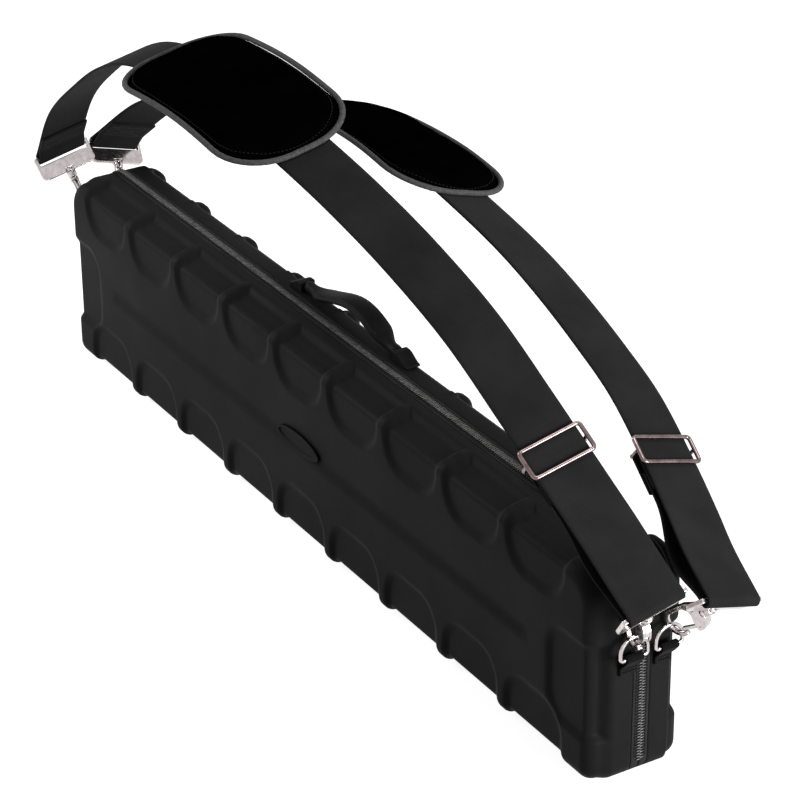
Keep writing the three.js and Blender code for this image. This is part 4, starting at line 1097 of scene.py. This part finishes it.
hook = {
    "loopArm": 3.4, "loopEnd": 22, "loopCorner": 3.5, "eyeLength": 6, "eyeHalf": 4.6, "stem": 2,
    "head": 3.6, "headHeight": 3, "webbingPlay": 2, "thickness": 3.6, "cheek": 6.4, "inner": 8.3,
    "arm": 3.7, "slack": 0.8, "neck": 13, "neckHalf": 4.2, "shoulder": 8, "waist": 3, "throat": 7,
    "noseDrop": 3, "rootRise": 4.6, "gateWidth": 2.9, "gateThickness": 2.6, "gatePin": 1.1,
    "gateInset": 3, "gateEye": 2.9, "gateHole": 1.4, "gap": 0.35,
}
hookTop = hook["loopEnd"] + hook["eyeLength"] + webbing["seat"]
hookEye = webbing["hookReach"] + ring["wire"] / 2 + hook["slack"] - hook["inner"]
hookOuter = hook["inner"] + hook["arm"]
pivotX, pivotZ = hook["gateInset"] - hookOuter, hookTop + hook["neck"]


def strapLoop():
    # flat plate with a slot for the webbing and a space for the stem's head, and a round collar
    h, bar, end, corner = hook, webbing["barHalf"], hook["loopEnd"], hook["loopCorner"]
    slotHalf, slotEnd = webbing["width"] / 2 + webbing["sidePlay"], wrap + webbing["thickness"] / 2
    half, eye = slotHalf + h["loopArm"], h["eyeHalf"]
    side = [(half, -bar), (half, end - corner), (half - corner, end), (eye, end), (eye, end + 0.8)]
    outline = rounded([(-half, -bar)] + side + [(-x, z) for x, z in reversed(side[1:])], 1.8)
    headHalf, window = h["head"] + h["gap"], end - h["headHeight"] - 0.6
    holes = []
    for reach, low, high, radius in ((slotHalf, bar, slotEnd + h["webbingPlay"], 1.0),
                                     (headHalf, window, end, 0.5)):
        holes.append(rounded([(-reach, low), (-reach, high), (reach, high), (reach, low)], radius))
    flat = moved(plate(outline, holes, bar, 0.8), axes((0, 0, 0), (0, 1, 0), (0, 0, 1), (1, 0, 0)))
    bore, top = h["stem"] + h["gap"], end + h["eyeLength"]
    collar = lathe([(bore, end), (eye - 0.5, end), (eye, end + 0.5), (eye, top - 0.7),
                    (eye - 0.7, top), (bore, top)], hollow=True)
    return together(flat, collar)


def hookBody():
    h, outer, inner, neck, waist = hook, hookOuter, hook["inner"], hook["neckHalf"], hook["waist"]
    collar, nose, root = hookTop + 2, hookEye - h["noseDrop"], pivotZ + h["rootRise"]
    low, high, gapEdge = pivotZ - h["shoulder"], pivotZ + waist, pivotX + neck
    # one outline round the hook, open on the gate's side from the nose down to the gate's pin
    outline = [(-neck, collar), (neck, collar), (outer * 0.75, low), (outer, high)]
    outline += arc(outer, 0, 180, 29, (0, hookEye)) + [(-outer, nose), (-inner, nose)]
    outline += arc(inner, 180, 0, 29, (0, hookEye))
    outline += [(inner, pivotZ + h["throat"]), (inner / 2, high), (gapEdge, high),
                (gapEdge, pivotZ - 4), (-outer * 0.95, pivotZ - 4), (-outer * 0.75, low)]
    middle = moved(plate(rounded(outline, 1.2, 3), [], h["thickness"] / 2, 0.7), upright)
    cheek = rounded([(-neck, collar), (neck, collar), (neck, pivotZ), (gapEdge, root - 1),
                     (-outer, root - 1), (-outer, pivotZ - waist), (-outer * 0.75, low)], 1.6)
    reach = h["cheek"] / 2
    thick = (reach - h["gateThickness"] / 2 - h["gap"]) / 2
    cheeks = [moved(plate(cheek, [], thick, 0.35), shift(0, side * (reach - thick), 0) @ upright)
              for side in (-1, 1)]
    head, end, stem = h["head"], h["loopEnd"] - webbing["seat"], h["stem"]
    under = end - h["headHeight"]
    swivel = lathe([(0.4, under), (head - 0.5, under), (head, under + 0.5), (head, end - 0.5),
                    (head - 0.5, end), (stem, end), (stem, hookTop), (neck - 0.6, hookTop),
                    (neck, hookTop + 0.6), (neck, hookTop + 4), (neck - 1, hookTop + 5),
                    (0.4, hookTop + 5)])
    pin = rod((pivotX, -reach, pivotZ), (pivotX, reach, pivotZ), h["gatePin"])
    return together(middle, *cheeks, swivel, pin)


def hookGate():
    h, half, nose = hook, hook["gateWidth"] / 2, hookEye - hook["noseDrop"]
    lean = math.atan2(webbing["gap"] + half - h["inner"] - pivotX, nose - pivotZ)
    tip = (hookEye - pivotZ) / math.cos(lean) - half * 0.6
    outline = [(x, tip + z * 0.6) for x, z in arc(half, 0, 180, 10)]
    outline += arc(h["gateEye"], 120, 420, 25)
    hole = [(h["gateHole"] * math.cos(a), h["gateHole"] * math.sin(a)) for a in circle(20)]
    gate = plate(outline, [hole], h["gateThickness"] / 2, 0.4)
    return moved(gate, Matrix.Rotation(lean, 4, "Y") @ upright)


# shoulder pads: one flat pad is puffed up by cloth pressure, then laid along each strap

pad = {
    "length": 236, "width": 116, "corner": 46, "edge": 3.4, "crown": 5.6, "binding": 4.8,
    "bindingHeight": 2.3, "voxel": 0.0045, "pressure": 4.0, "cap": 5.0, "seam": 8.0, "tuck": 1.2,
    "fill": 0.55, "smaller": 1, "flatTop": 1.4, "flatRise": 2.5, "flatBottom": -4.4, "rows": 41,
    "across": 17, "sideways": 0.3, "rimShare": 0.45, "rimWidth": 10, "rimStep": 3.0, "frames": 20,
    "stitch": (2.0, 0.6), "above": 40,
}


def padHalfWidth(distance, length, width):
    past = max(0.0, abs(distance) - (length / 2 - pad["corner"]))
    return width / 2 - pad["corner"] + math.sqrt(max(0.0, pad["corner"] ** 2 - past ** 2))


def flatPad():
    # closed flat pad a little smaller than the finished one: along, across, up
    p, rows = pad, []
    length, width = p["length"] - p["smaller"], p["width"] - p["smaller"]
    for t in np.linspace(0, math.pi, p["rows"]):
        spot = -length / 2 * math.cos(t)
        half, top, low = padHalfWidth(spot, length, width), [], []
        for share in np.linspace(-1, 1, p["across"]):
            fall = math.sqrt(max(0.0, 1 - share ** 2))
            fall *= math.sqrt(max(0.0, 1 - (2 * spot / length) ** 2))
            top.append((spot, half * share, p["flatTop"] + p["flatRise"] * fall))
            low.append((spot, half * share, p["flatBottom"]))
        rows.append(top + low[::-1])
    return loft(rows)


def meshOf(piece):
    # what a piece's modifiers make of it, as points in metres and faces
    graph = bpy.context.evaluated_depsgraph_get()
    mesh = bpy.data.meshes.new_from_object(piece.evaluated_get(graph))
    points = np.empty(len(mesh.vertices) * 3)
    mesh.vertices.foreach_get("co", points)
    faces = [tuple(face.vertices) for face in mesh.polygons]
    bpy.data.meshes.remove(mesh)
    return points.reshape(-1, 3), faces


def puffedPad():
    cap = pad["cap"] * 0.001
    start = makePiece("flatPad", flatPad())
    remesh = start.modifiers.new("even", "REMESH")
    remesh.mode = "VOXEL"
    remesh.voxel_size = pad["voxel"]
    rest, faces = meshOf(start)
    bpy.data.objects.remove(start)
    points = rest + np.array([0, 0, cap]) * (rest[:, 2:] > 0)   # the lift without any simulation, replaced below by the simulated lift
    soft = makePiece("softPad", (rest * 1000, faces, None))
    cloth = soft.modifiers.new("cloth", "CLOTH")
    cloth.settings.use_pressure = True
    cloth.settings.uniform_pressure_force = pad["pressure"]
    cloth.settings.effector_weights.gravity = 0
    for step in range(1, pad["frames"] + 1):
        bpy.context.scene.frame_set(step)
    swollen, _ = meshOf(soft)
    bpy.context.scene.frame_set(1)
    bpy.data.objects.remove(soft)
    far = np.maximum(np.linalg.norm(swollen - rest, axis=1), 1e-9)
    lift = (swollen - rest) * np.minimum(1, cap / far)[:, None]
    points = rest + lift * (pad["sideways"], pad["sideways"], 1)   # held in by the binding
    points = points * 1000
    # the underside lies flat on the webbing, and the rim is pressed down where the binding grips it
    points[:, 2] = np.clip(points[:, 2], 0.05, pad["edge"] + pad["crown"] - 0.1)
    length, width = pad["length"] - 2 * pad["tuck"], pad["width"] - 2 * pad["tuck"]
    points[:, 0] = np.clip(points[:, 0], -length / 2, length / 2)
    reach = np.array([padHalfWidth(x, length, width) for x in points[:, 0]])
    points[:, 1] = np.clip(points[:, 1], -reach, reach)
    inner = np.minimum(reach - np.abs(points[:, 1]), length / 2 - np.abs(points[:, 0]))
    grip = ease(np.clip(inner / pad["rimWidth"], 0, 1))
    points[:, 2] *= pad["rimShare"] + (1 - pad["rimShare"]) * grip
    smooth = makePiece("smoothPad", (points, faces, None))
    finer = smooth.modifiers.new("finer", "SUBSURF")
    finer.levels = finer.render_levels = 1
    points, faces = meshOf(smooth)
    bpy.data.objects.remove(smooth)
    return points * 1000, faces


def padRim(inset):
    # the pad's outline drawn in, in short steps
    length, width = pad["length"] - 2 * inset, pad["width"] - 2 * inset
    spots = [-length / 2 * math.cos(t) for t in np.linspace(0, math.pi, 35)]
    line = [(s, -padHalfWidth(s, length, width)) for s in spots]
    line += [(s, -y) for s, y in reversed(line)]
    ends = zip(line, line[1:] + line[:1])
    return [spot for start, end in ends for spot in split(start, end, pad["rimStep"])]


def onPad(arch, centre, points):
    # lays flat pad points along the strap
    middle, base = arch.atX(centre), wrap + webbing["thickness"] / 2 + webbing["seat"]
    laid = []
    for along, across, up in points:
        x, z = arch.at(middle + along, base + up)
        laid.append((x, across, z))
    return np.array(laid)


def padBinding():
    wide, high = pad["binding"] / 2, pad["bindingHeight"]
    points, faces, _ = tube([(x, y, high) for x, y in padRim(wide)], wide, (0, 0, 1), sides=12)
    points[:, 2] = high + (points[:, 2] - high) * (high - 0.1) / wide
    return points, faces


def padSeam(points, faces):
    # stitch line just inside the binding, on the pad's puffed top
    tree = BVHTree.FromPolygons([Vector(p) for p in points], faces)
    rim, spots = padRim(pad["seam"]), []
    for (x0, y0), (x1, y1) in zip(rim, rim[1:] + rim[:1]):
        above = Vector(((x0 + x1) / 2, (y0 + y1) / 2, pad["above"]))
        hit = tree.ray_cast(above, Vector((0, 0, -1)))[0]
        if hit:
            spots.append((tuple(hit), (x1 - x0, y1 - y0, 0), (0, 0, 1)))
    return threads(spots, *pad["stitch"])[:2]


padPoints, padFaces = puffedPad()
padForms = [   # name, flat form, material, slot and the node it replaces
    ("Pad", (padPoints, padFaces), padSkin, "pad", "shoulder_pad"),
    ("PadBinding", padBinding(), edgeCloth, "piping", "pad_piping"),
    ("PadSeam", padSeam(padPoints, padFaces), darkThreadAndShade, "pad"),
]
print("cue case: shoulder pads puffed up")


def makeStrap(name):
    strap, w = straps[name], webbing
    arch, body, lean = archOf(strap), f"{name}_strap", math.radians(strap["lean"])
    out, up = math.cos(lean), math.sin(lean)
    place = axes((0, strap["ringY"], ring["height"]), (1, 0, 0), (0, out, up), (0, -up, out))
    band = ribbon(webbingLine(arch), w["width"], w["thickness"])
    dress(f"{name}Webbing", band, strapCloth, body, "webbing", f"{name}_strap_webbing", place=place)
    half, to = w["thickness"] / 2, w["boxTo"]
    outer = boxStitch(arch, w["outerBoxFrom"], to, wrap + half, 1)
    inner = boxStitch(arch, w["innerBoxFrom"], to, wrap - layerStep - half, -1)
    dress(f"{name}FoldStitches", together(outer, inner), strapThread, body, "webbing", place=place)

    for form, (points, faces), skin, slotName, *nodes in padForms:
        shape = onPad(arch, strap["padCentre"], points), faces, None
        nodes = [f"{name}_{node}" for node in nodes]
        laid = dress(name + form, shape, skin, body, slotName, *nodes, place=place)

    at, body = place @ glidePlace(arch), f"{name}_glide"
    for form, shape, skin, slotName, node, crisp in (
            ("Frame", glideFrame(), rose, "glide", "frame", False),
            ("Bar", glideBar(), rose, "glide", "bar", True),
            ("End", glideEnd(), strapCloth, "webbing", "webbing_end", False)):
        dress(f"{name}Glide{form}", shape, skin, body, slotName, f"{name}_glide_{node}", place=at,
              crisp=crisp)

    for end, side in (("far", -1), ("near", 1)):
        bar = np.array(endBar(side, strap[end]))
        down = unit(np.array([side * ring["x"], ring["bow"]]) - bar)
        loopAt = place @ axes((bar[0], 0, bar[1]), (side * down[1], 0, -side * down[0]),
                              (0, side, 0), (down[0], 0, down[1]))
        hookAt = loopAt @ Matrix.Rotation(math.radians(strap["swivel"]), 4, "Z")
        gateAt = hookAt @ shift(pivotX, 0, pivotZ)
        for form, shape, rider, node, at in (
                ("Loop", strapLoop(), "strap", "strap_loop", loopAt),
                ("Hook", hookBody(), f"hook_{end}", "hook", hookAt),
                ("Gate", hookGate(), f"gate_{end}", "hook_gate", gateAt)):
            dress(f"{name}{form}_{end}", shape, steel, f"{name}_{rider}", "steel",
                  f"{name}_{node}_{end}", place=at, crisp=True)


makeStrap("front")
makeStrap("back")
print("cue case: straps ready")


# inside: foam cradle with cue channels, foam pad in the lid and two elastic bands

inside = {
    "surface": 2.0, "lidSurface": 2.6, "butt": (34, 28.5), "shaft": (24, 22), "spacing": 8,
    "endWall": 14, "soft": 1.6, "lip": 0.8, "seat": 0.3, "corner": 19.2, "bottomRound": 6,
    "bandWidth": 25, "bandThickness": 1.1, "bandPlaces": {"far": -230, "near": 230},
    "bandEndGap": 2, "fill": 0.9, "mouth": 0.8, "edgeStep": 1.5, "fieldLines": 90, "roundLines": 23,
    "endLines": (-1.6, -1.2, -0.8, -0.4, 0, 0.4),   # mesh lines over a channel's end
}
channelReach = shell["halfLength"] - shell["cavityInset"] - inside["endWall"]


def channels():
    # (middle height, half width, depth) of each channel
    sizes = [inside["shaft"], inside["butt"], inside["butt"], inside["shaft"]]
    spacing, spots = inside["spacing"], []
    low = (shell["height"] - sum(width for width, _ in sizes) - spacing * (len(sizes) - 1)) / 2
    for width, depth in sizes:
        spots.append((low + width / 2, width / 2, depth))
        low += width + spacing
    return spots


def cradleLevel(x, z):
    # how far the cradle's surface lies from the zip's plane
    level, ends = inside["surface"], limited((channelReach - abs(x)) / inside["soft"])
    for centre, half, depth in channels():
        dz = abs(z - centre)
        if dz < half:
            wall = (depth - half) * min(1, (half - dz) / inside["mouth"])
            deep = wall + math.sqrt(half * half - dz * dz)
            level = inside["surface"] + deep * ends
    return level


def foamBlock(side, depth, level):
    # a field of heights over the cavity, closed behind by a drawn-in bottom
    s, corner = shell, inside["corner"]
    inset, middle = s["cavityInset"] + inside["seat"], s["height"] / 2
    halfX, halfZ = s["halfLength"] - inset, middle - inset

    def past(x, z):
        return abs(x) - halfX + corner, abs(z - middle) - halfZ + corner

    def drawn(x, z, share):
        u, v = past(x, z)
        return (math.copysign(halfX - corner + u * share, x) if u > 0 else x,
                middle + math.copysign(halfZ - corner + v * share, z - middle) if v > 0 else z)

    near = inside["edgeStep"]
    flat = np.linspace(3 - channelReach, channelReach - 3, inside["fieldLines"])
    xs = sorted({-halfX, halfX, near - halfX, halfX - near} | {round(v, 2) for v in flat}
                | {sx * (channelReach + d) for sx in (-1, 1) for d in inside["endLines"]})
    zs = {middle - halfZ, middle + halfZ, middle - halfZ + near, middle + halfZ - near}
    for centre, half, _ in channels():
        around = np.linspace(-math.pi / 2, math.pi / 2, inside["roundLines"])
        zs.update(round(centre + half * math.sin(a), 3) for a in around)
    zs, points = sorted(zs), []
    for x in xs:
        for z in zs:
            edge, (u, v) = min(halfX - abs(x), halfZ - abs(z - middle)), past(x, z)
            share = max(u, v) / math.hypot(u, v) if min(u, v) > 0 else 1.0   # rounds the corners
            px, pz = drawn(x, z, share)
            points.append((px, side * (level(x, z) + inside["lip"] * (edge < 0.1)), pz))
    rows, count = len(xs), len(zs)
    border = [i * count for i in range(rows)] + [(rows - 1) * count + j for j in range(1, count)]
    border += [i * count + count - 1 for i in range(rows - 2, -1, -1)]
    border += list(range(count - 2, 0, -1))
    floorY, bend = depth - s["depthFace"] - s["wall"] - inside["seat"], inside["bottomRound"]
    faces, last = gridFaces(rows, count, closedColumns=False), border
    for y, share in ((floorY - bend, 1), (floorY, 1 - bend / corner)):
        here = list(range(len(points), len(points) + len(border)))
        for i in border:
            px, pz = drawn(points[i][0], points[i][2], share)
            points.append((px, side * y, pz))
        faces += [(last[i - 1], last[i], here[i], here[i - 1]) for i in range(len(border))]
        last = here
    return np.array(points), faces + [tuple(last)], None


def elasticBand(x):
    low = shell["cavityInset"] + inside["bandEndGap"]
    middle = inside["surface"] - inside["seat"] - inside["bandThickness"] / 2
    line = [(z, 0) for z in np.linspace(low, shell["height"] - low, 60)]
    shape = ribbon(line, inside["bandWidth"], inside["bandThickness"], 0.4)
    return moved(shape, axes((x, middle, 0), (0, 0, 1), (1, 0, 0), (0, 1, 0)))


cradle = dress("cueCradle", foamBlock(1, shell["backDepth"], cradleLevel), foamSkin, "back_half",
               "foam", "back_cue_foam")
lidBlock = foamBlock(-1, shell["frontDepth"], lambda x, z: inside["lidSurface"])
lidPad = dress("lidFoam", lidBlock, foamSkin, "front_half", "foam", "front_foam_pad")
for end, x in inside["bandPlaces"].items():
    dress(f"elasticBand_{end}", elasticBand(x), bandCloth, "back_half", "band",
          f"elastic_band_{end}")
print("cue case: inside ready")
